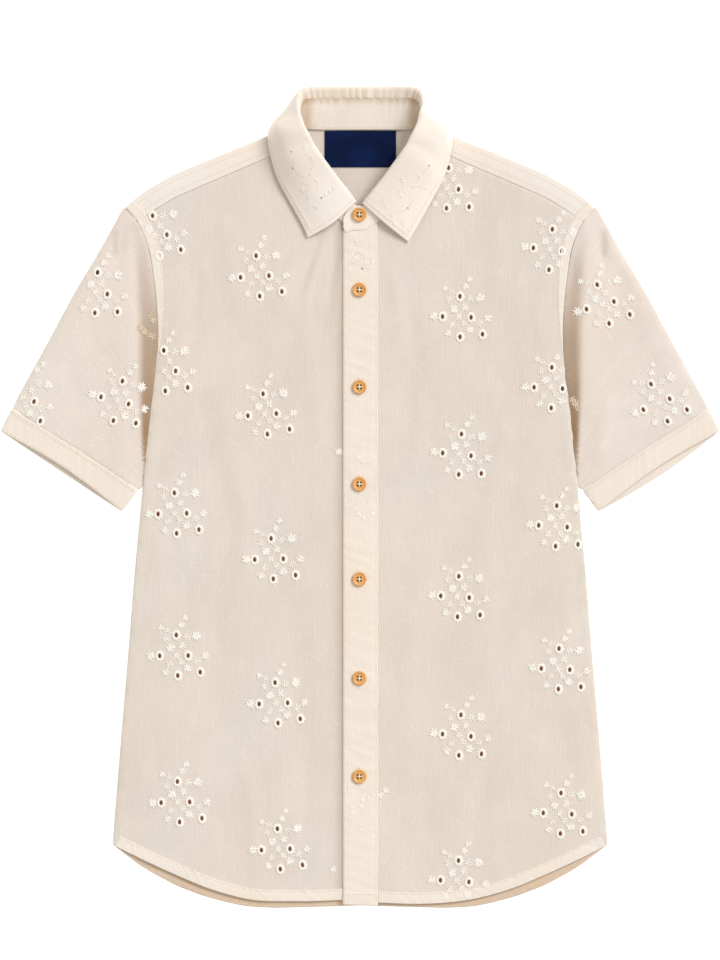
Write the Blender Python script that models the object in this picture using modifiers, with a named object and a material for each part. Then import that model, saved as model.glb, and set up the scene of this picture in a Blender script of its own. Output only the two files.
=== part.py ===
"""Short-sleeved shirt of embroidered, semi-sheer cotton, laid flat on its back with the front up.

Every length is in millimetres until a mesh is made, which is in metres. X runs across the shirt from
the centre front, with the wearer's left at +X. Y runs up the shirt towards the collar. Z is the height
above the surface that the shirt lies on. A table that serves both sides gives x outwards from the
centre front, so "side" is +1 for the wearer's left and -1 for the wearer's right.
"""

import math
from collections import namedtuple

import bmesh
import bpy
from mathutils import Vector
from mathutils.geometry import delaunay_2d_cdt, intersect_point_line


def table(columns, *rows):
    """A short table: one namedtuple for each row, with the named columns."""
    row_type = namedtuple("Row", columns)
    return [row_type(*row) for row in rows]


# Sizes that drive the rest
MM = 0.001
CENTRE_SHIFT_Y = -1.6
SEAM_GAP = 0.3
CLOTH_WALL = 1.2
DOUBLE_WALL = 1.6
PLACKET_WALL = 1.1
LABEL_WALL = 1.0
UPPER_LAYER = 3.0
LAP = 17.5
LAP_RAMP = (20.0, 60.0)
LAP_LIFT = CLOTH_WALL + SEAM_GAP
STAND_LIFT = DOUBLE_WALL + SEAM_GAP
HEM_WIDTH = 11.0
HEM_RAISE = 0.8
FOLD_EDGE = CLOTH_WALL + SEAM_GAP
BAND_FOLD_EDGE = DOUBLE_WALL + SEAM_GAP
FOLD_WIDTH = 5.0
GRID = 24.0
EDGE_STEP = 24.0
LEFT, RIGHT = 1, -1
SIDE_NAMES = {LEFT: "left", RIGHT: "right"}

# Plan of the cloth, the same on both sides
BODY_SIDE = table(
    "place x y",
    ("yoke corner", 222.5, 277.0),
    ("armhole high", 211.5, 250.0),
    ("armhole middle", 205.7, 215.0),
    ("armhole low", 202.6, 181.0),
    ("armpit", 202.6, 150.0),
    ("underarm", 207.5, 100.0),
    ("chest", 213.0, 52.0),
    ("waist high", 217.5, 0.0),
    ("waist", 224.5, -74.0),
    ("hip", 230.5, -150.0),
    ("low hip", 238.5, -245.0),
    ("hem corner", 246.6, -346.0),
)
ARMPIT_Y = 150.0
FRONT_HEM = table(
    "x y",
    (-LAP, -402.0),
    (20.0, -403.2),
    (58.0, -404.5),
    (90.0, -402.8),
    (119.0, -398.4),
    (151.7, -389.0),
    (187.3, -374.2),
    (216.0, -361.0),
    (246.6, -346.0),
)
BACK_HEM = table(
    "x y",
    (0.0, -406.3),
    (50.0, -407.8),
    (90.0, -408.5),
    (119.0, -406.2),
    (151.7, -398.2),
    (187.3, -384.6),
    (216.0, -368.8),
    (246.6, -346.0),
)
NECK_EDGE = table(
    "x y",
    (-LAP, 266.6),
    (5.0, 266.9),
    (26.0, 286.5),
    (45.5, 310.5),
    (58.5, 341.0),
    (63.0, 354.6),
)
YOKE = table(
    "fold_x fold_y seam_x seam_y",
    (66.0, 372.5, 64.0, 354.6),
    (91.9, 363.6, 90.8, 342.2),
    (134.4, 346.4, 128.0, 326.0),
    (180.3, 327.6, 170.0, 308.0),
    (196.0, 319.4, 186.0, 300.6),
    (211.3, 310.6, 199.5, 292.6),
    (224.5, 301.2, 212.0, 284.6),
    (235.0, 292.0, 222.5, 277.0),
)
YOKE_BACK_SEAM_Y = 264.0
YOKE_BACK_END_X = 216.8
YOKE_NECK_Y = 372.0
SLEEVE_TOP_FOLD = table(
    "x y",
    (235.0, 292.0),
    (259.3, 247.8),
    (284.0, 206.5),
    (308.0, 162.0),
    (333.0, 116.5),
    (347.4, 90.0),
)
CUFF_OUTER = Vector((358.8, 67.5))
CUFF_INNER = Vector((239.0, -12.0))
BAND_SEAM = table(
    "x y",
    (347.4, 90.0),
    (312.0, 67.8),
    (280.0, 48.0),
    (253.0, 30.3),
    (234.0, 17.2),
    (222.6, 9.6),
)
SLEEVE_MEETS_SIDE = Vector((216.1, 18.2))
CUFF_STEPS = 8
CUFF_FRONT_RISE = 4.5
CUFF_BACK_DROP = {LEFT: 4.0, RIGHT: 0.3}
SLEEVE_RIDGE = table(
    "x y",
    (214.5, 20.0),
    (217.5, 66.0),
    (221.0, 112.0),
    (222.5, 158.0),
    (224.0, 204.0),
    (224.5, 243.0),
)
SLEEVE_RIDGE_RISE = 2.0
SLEEVE_VALLEY = 1.6
SLEEVE_RIDGE_SPREAD = 22.0

# Soft folds pressed into the fronts: a trough or ridge along a nearly upright line
FRONT_FOLDS = table(
    "side x top bottom lean width rise",
    (RIGHT, 178.0, 215.0, 20.0, 10.0, 17.0, 1.9),
    (RIGHT, 150.0, 150.0, -120.0, 14.0, 13.0, -0.9),
    (RIGHT, 118.0, 60.0, -250.0, -8.0, 15.0, 1.3),
    (RIGHT, 84.0, -150.0, -370.0, 6.0, 16.0, 1.5),
    (RIGHT, 72.0, 240.0, 60.0, -6.0, 14.0, 1.0),
    (RIGHT, 190.0, -110.0, -330.0, 12.0, 18.0, 1.2),
    (LEFT, 184.0, 235.0, 60.0, 6.0, 15.0, 1.8),
    (LEFT, 176.0, 70.0, -170.0, 18.0, 16.0, 1.4),
    (LEFT, 140.0, 150.0, -60.0, 4.0, 12.0, -0.9),
    (LEFT, 118.0, 30.0, -200.0, 10.0, 15.0, 1.3),
    (LEFT, 80.0, 215.0, 20.0, -4.0, 14.0, 1.0),
    (LEFT, 150.0, -160.0, -350.0, 10.0, 18.0, 1.5),
)

# Embroidered sprigs: where the top eyelet of each lies, and how far the sprig is turned
SPRIGS = table(
    "piece x y turn",
    ("front_right", -104.3, 243.0, 4),
    ("front_right", -97.3, 105.0, 5),
    ("front_right", -89.3, -39.5, 2),
    ("front_right", -85.3, -183.5, 3),
    ("front_right", -83.0, -329.5, 3),
    ("front_right", -207.7, 283.0, 8),
    ("front_right", -196.5, 148.4, 1),
    ("front_right", -185.9, 6.0, 2),
    ("front_right", -184.0, -136.0, 1),
    ("front_right", -182.9, -282.4, 2),
    ("front_left", 88.0, 330.9, -4),
    ("front_left", 99.4, 202.4, -1),
    ("front_left", 100.9, 64.8, -5),
    ("front_left", 98.3, -77.3, -3),
    ("front_left", 100.4, -215.8, -4),
    ("front_left", 98.0, -361.4, -3),
    ("front_left", 191.8, 269.4, -6),
    ("front_left", 191.2, 131.4, -2),
    ("front_left", 196.2, -6.8, -3),
    ("front_left", 198.4, -149.5, -2),
    ("front_left", 200.4, -293.9, -2),
    ("sleeve_right_front", -262.6, 226.3, -5),
    ("sleeve_right_front", -331.1, 120.5, -17),
    ("sleeve_right_front", -237.8, 117.7, -14),
    ("sleeve_left_front", 236.5, 214.0, 16),
    ("sleeve_left_front", 290.3, 114.7, 23),
)
SPRIG_EYELETS = table(
    "x y",
    (0.0, 0.0),
    (-17.0, -20.5),
    (11.5, -20.8),
    (0.8, -40.5),
    (23.2, -37.5),
)
EYELET_WIDTH = 3.8
EYELET_HEIGHT = 5.2
EYELET_SIDES = 6
EYELET_MARGIN = 4.0

# Collar: the foot on the neck seam, the seam of stand and leaf, the roll, the belly and the edge
COLLAR = table(
    "place foot seam roll belly edge",
    ("centre back", (0, 369, 2.6), (0, 400, 11.5), (0, 411, 13), (0, 404, 5), (0, 374, 0.8)),
    ("back", (28, 369, 2.6), (28, 400, 12.2), (29, 411, 14), (29, 404, 5.5), (28, 374, 0.8)),
    ("back corner", (48, 369.4, 2.8), (47, 399, 16), (50, 410, 18.5), (51, 403, 8), (50, 376, 0.8)),
    ("turn", (58.5, 370.8, 3.9), (55.5, 392, 21.5), (60, 404.5, 24), (66, 396, 10), (66, 379, 0.8)),
    ("shoulder", (64.6, 371.6, 5.4), (57, 381, 26), (61.8, 394, 30), (73.5, 387.5, 17), (77, 375, 1.0)),
    ("neck point", (67, 366, 5.4), (55.5, 372, 28), (59.8, 381, 33), (80, 378, 22), (86, 370, 5)),
    ("side", (66, 357, 5.4), (51.5, 361, 28), (55.3, 368, 34), (79.5, 364, 26.5), (90.8, 355.5, 6.3)),
    ("side low", (61.5, 339, 5.4), (40.5, 342, 24.5), (44, 346.3, 30), (68, 337, 24), (84.2, 323.5, 7)),
    ("front", (48, 309, 5.4), (24.5, 320, 17), (27.6, 324.6, 22), (52, 313, 19), (71.5, 298.5, 7)),
    ("front low", (28, 285, 5.4), (11, 303, 11), (13, 307, 16.8), (37, 290.5, 15), (57.5, 273, 7)),
    ("centre front", (6, 269.6, 5.3), (5, 293.6, 7.4), (5.2, 296.6, 12), (27, 275.6, 12), (49, 257.2, 7)),
)
STAND_TAB = table(
    "side foot seam",
    (LEFT, (-6, 268.3, 5.3), (-5, 290.4, 7.0)),
    (LEFT, (-14.2, 267.5, 5.3), (-12.6, 289.8, 6.9)),
    (LEFT, (-16.6, 271.0, 5.5), (-16.3, 285.5, 6.6)),
    (RIGHT, (-5, 270.5, 5.3), (-4.5, 290.4, 7.0)),
    (RIGHT, (-10, 275.0, 5.4), (-9, 288.5, 6.9)),
)
LEAF_START = 1.7
YOKE_STEPS = 2
COLLAR_STEPS = 2
LEAF_STEPS = 3

# Placket, buttons and label
PLACKET_TOP = 266.6
PLACKET_BOTTOM = -405.0
BUTTON_X = -1.3
BUTTON_HEIGHTS = (209.0, 112.0, 15.0, -80.0, -179.0, -277.0)
STAND_BUTTON = Vector((-1.3, 284.0))
BUTTON_RADIUS = 7.0
BUTTON_THICKNESS = 2.6
BUTTON_RIM = 1.5
BUTTON_DISH = 0.7
BUTTON_HOLE_RADIUS = 0.75
BUTTON_HOLE_SPREAD = 1.45
BUTTON_SEGMENTS = 20
LABEL_HALF_WIDTH = 35.7
LABEL_TOP = 368.0
LABEL_BOTTOM = 331.6

# Finish of each piece, as linear colour and roughness
CLOTH_COLOUR = (0.76, 0.68, 0.60)
DOUBLE_CLOTH_COLOUR = (0.86, 0.78, 0.69)
INNER_CLOTH_COLOUR = (0.68, 0.58, 0.49)
COCONUT_COLOUR = (0.60, 0.30, 0.10)
LABEL_COLOUR = (0.006, 0.014, 0.055)


def smooth_step(low, high, value):
    """0 at low and before it, 1 at high and past it, with a soft change between."""
    t = min(1.0, max(0.0, (value - low) / (high - low)))
    return t * t * (3 - 2 * t)


def plan(rows):
    """The rows' x and y as points."""
    return [Vector((row.x, row.y)) for row in rows]


def curve_point(before, start, end, after, t):
    """A point between start and end on a smooth curve that also heeds the points next to them."""
    bend = (2 * before - 5 * start + 4 * end - after) * t**2
    twist = (3 * start - before - 3 * end + after) * t**3
    return 0.5 * (2 * start + (end - before) * t + bend + twist)


def smooth_line(points, step=None, count=1):
    """Points on a smooth curve through the given ones, about step apart, or count to each stretch."""
    line = []
    last = len(points) - 1
    for i in range(last):
        start, end = points[i], points[i + 1]
        before, after = points[max(i - 1, 0)], points[min(i + 2, last)]
        parts = max(1, round((end - start).length / step)) if step else count
        line += [curve_point(before, start, end, after, k / parts) for k in range(parts)]
    line.append(points[-1].copy())
    return line


def bowed_line(start, end, rise, count):
    """Points from start to end on a shallow arc that stands rise above the chord, on its +Y side."""
    chord = end - start
    sideways = Vector((-chord.y, chord.x)).normalized()
    if sideways.y < 0:
        sideways.negate()
    shares = [k / count for k in range(count + 1)]
    return [start + chord * share + sideways * rise * math.sin(math.pi * share) for share in shares]


def across(rows, value, from_column="y", to_column="x"):
    """Reads one column of a table against another, on straight lines between its rows."""
    ordered = sorted(rows, key=lambda row: getattr(row, from_column))
    value = min(max(value, getattr(ordered[0], from_column)), getattr(ordered[-1], from_column))
    for low, high in zip(ordered, ordered[1:]):
        start, end = getattr(low, from_column), getattr(high, from_column)
        if value <= end:
            t = (value - start) / (end - start)
            return getattr(low, to_column) * (1 - t) + getattr(high, to_column) * t
    return getattr(ordered[-1], to_column)


def distance_to_line(point, line):
    """The distance in plan from a point to a line of points."""
    best = math.inf
    for start, end in zip(line, line[1:]):
        nearest, t = intersect_point_line(point, start, end)
        nearest = start + (end - start) * min(1.0, max(0.0, t))
        best = min(best, (point - nearest).length)
    return best


def middle_of(points):
    """The mean of some points in plan."""
    return sum(points, Vector((0, 0))) / len(points)


def is_inside(point, outline):
    """Whether a point lies inside a closed outline, by counting the edges to its right."""
    inside = False
    for a, b in zip(outline, outline[1:] + outline[:1]):
        if (a.y > point.y) != (b.y > point.y):
            crossing = a.x + (b.x - a.x) * (point.y - a.y) / (b.y - a.y)
            inside = inside != (point.x < crossing)
    return inside


def rounded_down(height, low_edge, distance):
    """The height of an upper layer that rounds down to low_edge where it meets the layer below."""
    near = max(0.0, 1 - distance / FOLD_WIDTH)
    return height - (height - low_edge) * (1 - math.sqrt(1 - near * near))


# Heights of the laid layers
def front_fold_height(side, x, y):
    """What the soft folds add to the underside of a front."""
    height = 0.0
    for fold in FRONT_FOLDS:
        if fold.side != side or not fold.bottom < y < fold.top:
            continue
        t = (fold.top - y) / (fold.top - fold.bottom)
        offset = (x - fold.x - fold.lean * t) / fold.width
        height += fold.rise * math.sin(math.pi * t) ** 0.6 * math.exp(-offset * offset)
    from_side = smooth_step(4, 30, across(BODY_SIDE, y) - x)
    from_lap = smooth_step(22, 60, x)
    from_hem = smooth_step(14, 50, y - across(FRONT_HEM, x, "x", "y"))
    seam_y = across(YOKE, x, "seam_x", "seam_y") if x > NECK_EDGE[-1].x else across(NECK_EDGE, x, "x", "y")
    from_top = smooth_step(6, 60, seam_y - y)
    return height * from_side * from_lap * from_hem * from_top


def front_under(side, x, y):
    """Height of a front's underside. The wearer's left front laps over the right one."""
    height = UPPER_LAYER + front_fold_height(side, x, y)
    if side == LEFT:
        height += LAP_LIFT * (1 - smooth_step(*LAP_RAMP, x))
    from_armpit = smooth_step(0, 25, ARMPIT_Y - y)
    rounded = rounded_down(height, FOLD_EDGE, max(0.0, across(BODY_SIDE, y) - x))
    return height + (rounded - height) * from_armpit


def sleeve_under(x, y):
    """Height of a sleeve's upper layer: a long soft ridge, then a valley against the body."""
    ridge_x = across(SLEEVE_RIDGE, y)
    body_x = across(BODY_SIDE, y)
    along = smooth_step(262, 225, y) * smooth_step(25, 90, y)
    crest = UPPER_LAYER + SLEEVE_RIDGE_RISE * along
    if x >= ridge_x:
        spread = (x - ridge_x) / SLEEVE_RIDGE_SPREAD
        height = UPPER_LAYER + SLEEVE_RIDGE_RISE * along * math.exp(-spread * spread)
    else:
        t = smooth_step(0, 1, (ridge_x - x) / max(ridge_x - body_x, 1.0))
        height = crest + (SLEEVE_VALLEY - crest) * t * along
    return height


# Meshes
def new_object(name, mesh, material):
    """Adds a named object with its own material to the shirt's collection, under the shirt's empty."""
    made = bpy.data.objects.new(name, mesh)
    made.data.materials.append(material)
    bpy.data.collections["embroidered_shirt"].objects.link(made)
    made.parent = bpy.data.objects["shirt_centre"]
    return made


def finish_material(name, colour, roughness):
    """A Principled material in one linear colour."""
    material = bpy.data.materials.new(name)
    material.use_nodes = True
    shader = material.node_tree.nodes["Principled BSDF"]
    shader.inputs["Base Color"].default_value = (*colour, 1)
    shader.inputs["Roughness"].default_value = roughness
    shader.inputs["Metallic"].default_value = 0
    return material


def mesh_from_bmesh(name, form):
    """Turns a bmesh into a mesh with its faces pointing out."""
    bmesh.ops.recalc_face_normals(form, faces=form.faces)
    mesh = bpy.data.meshes.new(name)
    form.to_mesh(mesh)
    form.free()
    return mesh


def grid_points(outline, holes, lines, clear):
    """Points of a square grid inside an outline, clear of its edge, of its holes and of other lines."""
    low_x, high_x = min(p.x for p in outline), max(p.x for p in outline)
    low_y, high_y = min(p.y for p in outline), max(p.y for p in outline)
    closed = outline + outline[:1]
    centres = [middle_of(hole) for hole in holes]
    found = []
    for i in range(1, int((high_x - low_x) / GRID) + 1):
        for j in range(1, int((high_y - low_y) / GRID) + 1):
            point = Vector((low_x + i * GRID, low_y + j * GRID))
            if not is_inside(point, outline) or distance_to_line(point, closed) < clear:
                continue
            if any((point - centre).length < EYELET_HEIGHT + 2 for centre in centres):
                continue
            if any(distance_to_line(point, line) < clear / 2 for line in lines):
                continue
            found.append(point)
    return found


def lay_panel(name, outline, height, wall, material, holes=(), lines=(), with_grid=True):
    """A flat-cut piece of cloth laid at a height that changes over its plan.

    outline and holes are closed loops in plan, and lines are open rows along which the height may
    bend. height gives the underside at (x, y), and wall the thickness there.
    """
    points = list(outline)
    edges = [(i, (i + 1) % len(outline)) for i in range(len(outline))]
    for hole in holes:
        first = len(points)
        points += hole
        edges += [(first + i, first + (i + 1) % len(hole)) for i in range(len(hole))]
    for line in lines:
        first = len(points)
        points += line
        for i, (start, end) in enumerate(zip(line, line[1:])):
            if all(distance_to_line(middle_of(hole), [start, end]) > EYELET_HEIGHT for hole in holes):
                edges.append((first + i, first + i + 1))
    if with_grid:
        points += grid_points(outline, holes, lines, GRID * 0.35)
    inside_with_holes = 2
    outer_loop = list(range(len(outline)))
    placed, _, faces, *_ = delaunay_2d_cdt(points, edges, [outer_loop], inside_with_holes, 1e-4)
    form = bmesh.new()
    under = [form.verts.new((p.x * MM, p.y * MM, height(p.x, p.y) * MM)) for p in placed]
    for face in faces:
        centre = middle_of([placed[i] for i in face])
        if is_inside(centre, list(outline)) and not any(is_inside(centre, list(hole)) for hole in holes):
            form.faces.new([under[i] for i in face])
    loose = [vertex for vertex in form.verts if not vertex.link_faces]
    bmesh.ops.delete(form, geom=loose, context="VERTS")
    lifted = bmesh.ops.extrude_face_region(form, geom=list(form.faces), use_keep_orig=True)
    for vertex in lifted["geom"]:
        if isinstance(vertex, bmesh.types.BMVert):
            vertex.co.z += wall(vertex.co.x / MM, vertex.co.y / MM) * MM
    return new_object(name, mesh_from_bmesh(name, form), material)


def loft(name, sections, wall, material):
    """A shell through rows of points, thickened evenly to both sides."""
    form = bmesh.new()
    rows = [[form.verts.new(point * MM) for point in section] for section in sections]
    for row, after in zip(rows, rows[1:]):
        for i in range(len(row) - 1):
            form.faces.new((row[i], after[i], after[i + 1], row[i + 1]))
    made = new_object(name, mesh_from_bmesh(name, form), material)
    thicken(made, wall)
    return made


def thicken(made, wall):
    """Gives a shell its wall, half to each side."""
    solidify = made.modifiers.new("wall", "SOLIDIFY")
    solidify.thickness = wall * MM
    solidify.offset = 0
    solidify.use_even_offset = True


# Pieces of the body
def single_cloth(_x, _y):
    """The wall of one layer of cloth."""
    return CLOTH_WALL


def double_cloth(_x, _y):
    """The wall of a folded double layer."""
    return DOUBLE_WALL


def flat_on_surface(_x, _y):
    """The underside of a piece that lies on the surface."""
    return 0.0


def front_wall(side):
    """A front's thickness: one layer, and more over the turned hem outside the lap."""

    def wall(x, y):
        """The thickness at a point."""
        from_edge = y - across(FRONT_HEM, side * x, "x", "y")
        turned = 1 - smooth_step(HEM_WIDTH - 0.5, HEM_WIDTH + 0.5, from_edge)
        return CLOTH_WALL + HEM_RAISE * turned * smooth_step(LAP + 2.6, LAP + 8, side * x)

    return wall


def make_back(material):
    """The back panel, from the yoke's seam to the hem, flat on the surface."""
    seam_y = YOKE_BACK_SEAM_Y - SEAM_GAP
    side_rows = [row for row in BODY_SIDE if row.y < seam_y]
    half = smooth_line([Vector((YOKE_BACK_END_X, seam_y))] + plan(side_rows), EDGE_STEP)
    half += smooth_line(plan(reversed(BACK_HEM)), EDGE_STEP)[1:-1]
    other = [Vector((-p.x, p.y)) for p in reversed(half)]
    outline = half + [Vector((0, BACK_HEM[0].y))] + other
    lay_panel("back_panel", outline, flat_on_surface, single_cloth, material, with_grid=False)


def eyelets_in(piece, outline):
    """The cut eyelets of a piece's sprigs, as small ovals, where they lie clear of its edge."""
    closed = list(outline) + [outline[0]]
    holes = []
    for sprig in SPRIGS:
        if sprig.piece != piece:
            continue
        turn = math.radians(sprig.turn)
        for eyelet in SPRIG_EYELETS:
            x = sprig.x + eyelet.x * math.cos(turn) - eyelet.y * math.sin(turn)
            y = sprig.y + eyelet.x * math.sin(turn) + eyelet.y * math.cos(turn)
            centre = Vector((x, y))
            if not is_inside(centre, outline):
                continue
            if distance_to_line(centre, closed) < EYELET_MARGIN + EYELET_HEIGHT / 2:
                continue
            hole = []
            for k in range(EYELET_SIDES):
                angle = 2 * math.pi * (k + 0.5) / EYELET_SIDES
                reach = Vector((EYELET_WIDTH / 2 * math.cos(angle), EYELET_HEIGHT / 2 * math.sin(angle)))
                hole.append(centre + reach)
            holes.append(hole)
    return holes


def inset(line, distance):
    """A line moved sideways in plan, to its left as it runs."""
    moved = []
    for i, point in enumerate(line):
        along = line[min(i + 1, len(line) - 1)] - line[max(i - 1, 0)]
        moved.append(point + Vector((-along.y, along.x)).normalized() * distance)
    return moved


def mirrored(line, side):
    """A line on the given side."""
    return [Vector((side * p.x, p.y)) for p in line]


def make_front(side, material):
    """One front, from the lap at the centre to the side seam, with its eyelets cut through."""
    hem = smooth_line(plan(FRONT_HEM), EDGE_STEP)
    edge = smooth_line(plan(reversed(BODY_SIDE)), EDGE_STEP)
    top = [p - Vector((0, SEAM_GAP)) for p in reversed(yoke_seam())]
    neck = smooth_line(plan(reversed(NECK_EDGE)), EDGE_STEP / 2)
    outline = hem[:-1] + edge[:-1] + top + neck[1:]
    side_seam = [p for p in edge if p.y < ARMPIT_Y]
    hem_inner = [Vector((p.x, p.y + HEM_WIDTH + 0.5)) for p in hem[1:-1]]
    hem_step = [Vector((p.x, p.y + HEM_WIDTH - 0.5)) for p in hem[1:-1]]
    lap_ends = [Vector((LAP_RAMP[0], y)) for y in (FRONT_HEM[1].y + HEM_WIDTH + 5, NECK_EDGE[2].y - 12)]
    lap = smooth_line(lap_ends, EDGE_STEP)
    rounded = [inset(side_seam[1:], FOLD_WIDTH / 4), inset(side_seam[1:], FOLD_WIDTH)]
    lines = rounded + [hem_inner, hem_step, lap]
    lines = [[p for p in line if is_inside(p, outline)] for line in lines]
    name = "front_" + SIDE_NAMES[side]
    outline, lines = mirrored(outline, side), [mirrored(line, side) for line in lines]
    lay_panel(
        name,
        outline,
        lambda x, y: front_under(side, side * x, y),
        front_wall(side),
        material,
        eyelets_in(name, outline),
        lines,
    )


def yoke_seam():
    """The seam of the yoke on a front, from the neck to the shoulder's tip."""
    return smooth_line([Vector((row.seam_x, row.seam_y)) for row in YOKE], count=YOKE_STEPS)


def make_yoke(material):
    """The back yoke, which turns over the shoulders and ends in a seam on each front."""
    form = bmesh.new()
    low, high = CLOTH_WALL / 2, UPPER_LAYER + CLOTH_WALL / 2
    radius = (high - low) / 2
    turn_steps = 6

    def column(fold, seam, back_x):
        """One line of points from the back seam round the shoulder fold to the front seam."""
        outward = (fold - seam).normalized()
        centre = fold - outward * (radius + CLOTH_WALL / 2)
        points = [Vector((back_x, YOKE_BACK_SEAM_Y, low)), Vector((*seam, low))]
        for k in range(turn_steps + 1):
            angle = math.pi * (k / turn_steps - 0.5)
            place = centre + outward * radius * math.cos(angle)
            points.append(Vector((*place, low + radius + radius * math.sin(angle))))
        points.append(Vector((*seam, high)))
        return points

    folds = smooth_line([Vector((row.fold_x, row.fold_y)) for row in YOKE], count=YOKE_STEPS)
    seams = yoke_seam()
    columns = {}
    for side in (LEFT, RIGHT):
        columns[side] = []
        for k, (fold, seam) in enumerate(zip(folds, seams)):
            back_x = YOKE[0].seam_x + (YOKE_BACK_END_X - YOKE[0].seam_x) * k / (len(folds) - 1)
            line = column(fold, seam, back_x)
            columns[side].append([form.verts.new((side * p.x * MM, p.y * MM, p.z * MM)) for p in line])
        for row, after in zip(columns[side], columns[side][1:]):
            for i in range(len(row) - 1):
                form.faces.new((row[i], after[i], after[i + 1], row[i + 1]))
    left, right = columns[LEFT][0], columns[RIGHT][0]
    middle = []
    for y in (YOKE_BACK_SEAM_Y, YOKE[0].seam_y, YOKE_NECK_Y):
        middle.append(form.verts.new((0, y * MM, low * MM)))
    for i in range(2):
        form.faces.new((left[i], left[i + 1], middle[i + 1], middle[i]))
        form.faces.new((right[i], middle[i], middle[i + 1], right[i + 1]))
    made = new_object("yoke", mesh_from_bmesh("yoke", form), material)
    thicken(made, CLOTH_WALL)


# Sleeves
def sleeve_edges():
    """The lines round a sleeve: its seam on the body, the band's seam, and its two folds."""
    body = smooth_line(plan([row for row in BODY_SIDE if row.y > SLEEVE_MEETS_SIDE.y]), EDGE_STEP)
    body.append(SLEEVE_MEETS_SIDE)
    tip = Vector((YOKE[-1].fold_x, YOKE[-1].fold_y))
    body_line = [tip] + body
    seam_on_body = inset(body_line, SEAM_GAP + 0.1)
    band_seam = smooth_line(plan(reversed(BAND_SEAM)), EDGE_STEP)
    top_fold = smooth_line(plan(reversed(SLEEVE_TOP_FOLD)), EDGE_STEP)
    under_fold = [seam_on_body[-1], band_seam[0]]
    return seam_on_body, band_seam, top_fold, under_fold


def make_sleeve(side, material):
    """One sleeve as its upper and lower layers, which meet at the folds along its two edges."""
    seam_on_body, band_seam, top_fold, under_fold = sleeve_edges()
    outline = seam_on_body + band_seam + top_fold[1:-1]
    lines = [inset(top_fold[1:-1], FOLD_WIDTH / 4), inset(top_fold[1:-1], FOLD_WIDTH)]
    ridge = smooth_line(plan(SLEEVE_RIDGE), EDGE_STEP)
    lines += [ridge[1:-1], [p + Vector((9, 0)) for p in ridge[1:-1]]]
    lines = [[p for p in line if is_inside(p, outline)] for line in lines]

    def height(x, y):
        """The upper layer's underside, rounded down at both folds."""
        top = sleeve_under(side * x, y)
        for fold in (top_fold, under_fold):
            top = rounded_down(top, FOLD_EDGE, distance_to_line(Vector((side * x, y)), fold))
        return top

    name = "sleeve_" + SIDE_NAMES[side]
    outline, lines = mirrored(outline, side), [mirrored(line, side) for line in lines]
    holes = eyelets_in(name + "_front", outline)
    lay_panel(name + "_front", outline, height, single_cloth, material, holes, lines)
    lay_panel(name + "_back", outline, flat_on_surface, single_cloth, material, with_grid=False)


def make_band(side, material):
    """The band round a sleeve's end, as its upper and lower layers."""
    _, band_seam, _, _ = sleeve_edges()
    seam = inset(band_seam, -SEAM_GAP)
    name = "sleeve_band_" + SIDE_NAMES[side]
    folds = [[seam[-1], CUFF_OUTER], [CUFF_INNER, seam[0]]]

    def height(x, y):
        """The upper layer's underside, rounded down at both folds."""
        point = Vector((side * x, y))
        top = UPPER_LAYER
        for fold in folds:
            top = rounded_down(top, BAND_FOLD_EDGE, distance_to_line(point, fold))
        return top

    layers = (
        ("_front", CUFF_FRONT_RISE, height),
        ("_back", -CUFF_BACK_DROP[side], flat_on_surface),
    )
    for layer, rise, under in layers:
        cuff = bowed_line(CUFF_OUTER, CUFF_INNER, rise, CUFF_STEPS)
        outline = mirrored(seam + cuff, side)
        lines = []
        for start, end in folds if layer == "_front" else []:
            along = [start.lerp(end, t) for t in (0.1, 0.4, 0.7, 0.95)]
            lines += [inset(along, -FOLD_WIDTH / 4), inset(along, -FOLD_WIDTH)]
        lines = [[p for p in mirrored(line, side) if is_inside(p, outline)] for line in lines]
        lay_panel(name + layer, outline, under, double_cloth, material, lines=lines, with_grid=False)


# Collar, placket, buttons and label
def stand_points(row, side):
    """The stand's section at a row: its foot, its middle and its seam with the leaf."""
    foot, seam = Vector(row.foot), Vector(row.seam)
    lift = STAND_LIFT * (1 - smooth_step(*LAP_RAMP, foot.x)) if side == LEFT else 0.0
    points = [foot, foot.lerp(seam, 0.5), seam]
    return [Vector((side * p.x, p.y, p.z + lift)) for p in points]


def make_collar_stand(material):
    """The stand, from the tab under the lap, round the back of the neck, to the tab over it."""
    halves = {}
    for side in (RIGHT, LEFT):
        rows = COLLAR + [row for row in STAND_TAB if row.side == side]
        halves[side] = [stand_points(row, side) for row in rows]
    sections = list(reversed(halves[RIGHT][1:])) + halves[LEFT]
    lines = [smooth_line([section[i] for section in sections], count=COLLAR_STEPS) for i in range(3)]
    loft("collar_stand", list(zip(*lines)), DOUBLE_WALL, material)


def leaf_section(row, side):
    """The leaf's section at a row, from the stand's seam over the roll to the edge."""
    seam, roll, belly, edge = (Vector(point) for point in (row.seam, row.roll, row.belly, row.edge))
    lift = STAND_LIFT * (1 - smooth_step(*LAP_RAMP, row.foot[0])) if side == LEFT else 0.0
    seam = seam + Vector((0, 0, lift))
    start = seam + (roll - seam).normalized() * LEAF_START
    section = smooth_line([start, roll, belly, edge], count=LEAF_STEPS)
    return [Vector((side * p.x, p.y, p.z)) for p in section]


def make_collar_leaf(material):
    """The leaf, which falls outwards from the roll and lies behind the neck and on the fronts."""
    right = [leaf_section(row, RIGHT) for row in COLLAR]
    left = [leaf_section(row, LEFT) for row in COLLAR]
    sections = list(reversed(right[1:])) + left
    lines = [smooth_line(list(line), count=COLLAR_STEPS) for line in zip(*sections)]
    loft("collar_leaf", list(zip(*lines)), DOUBLE_WALL, material)


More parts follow.
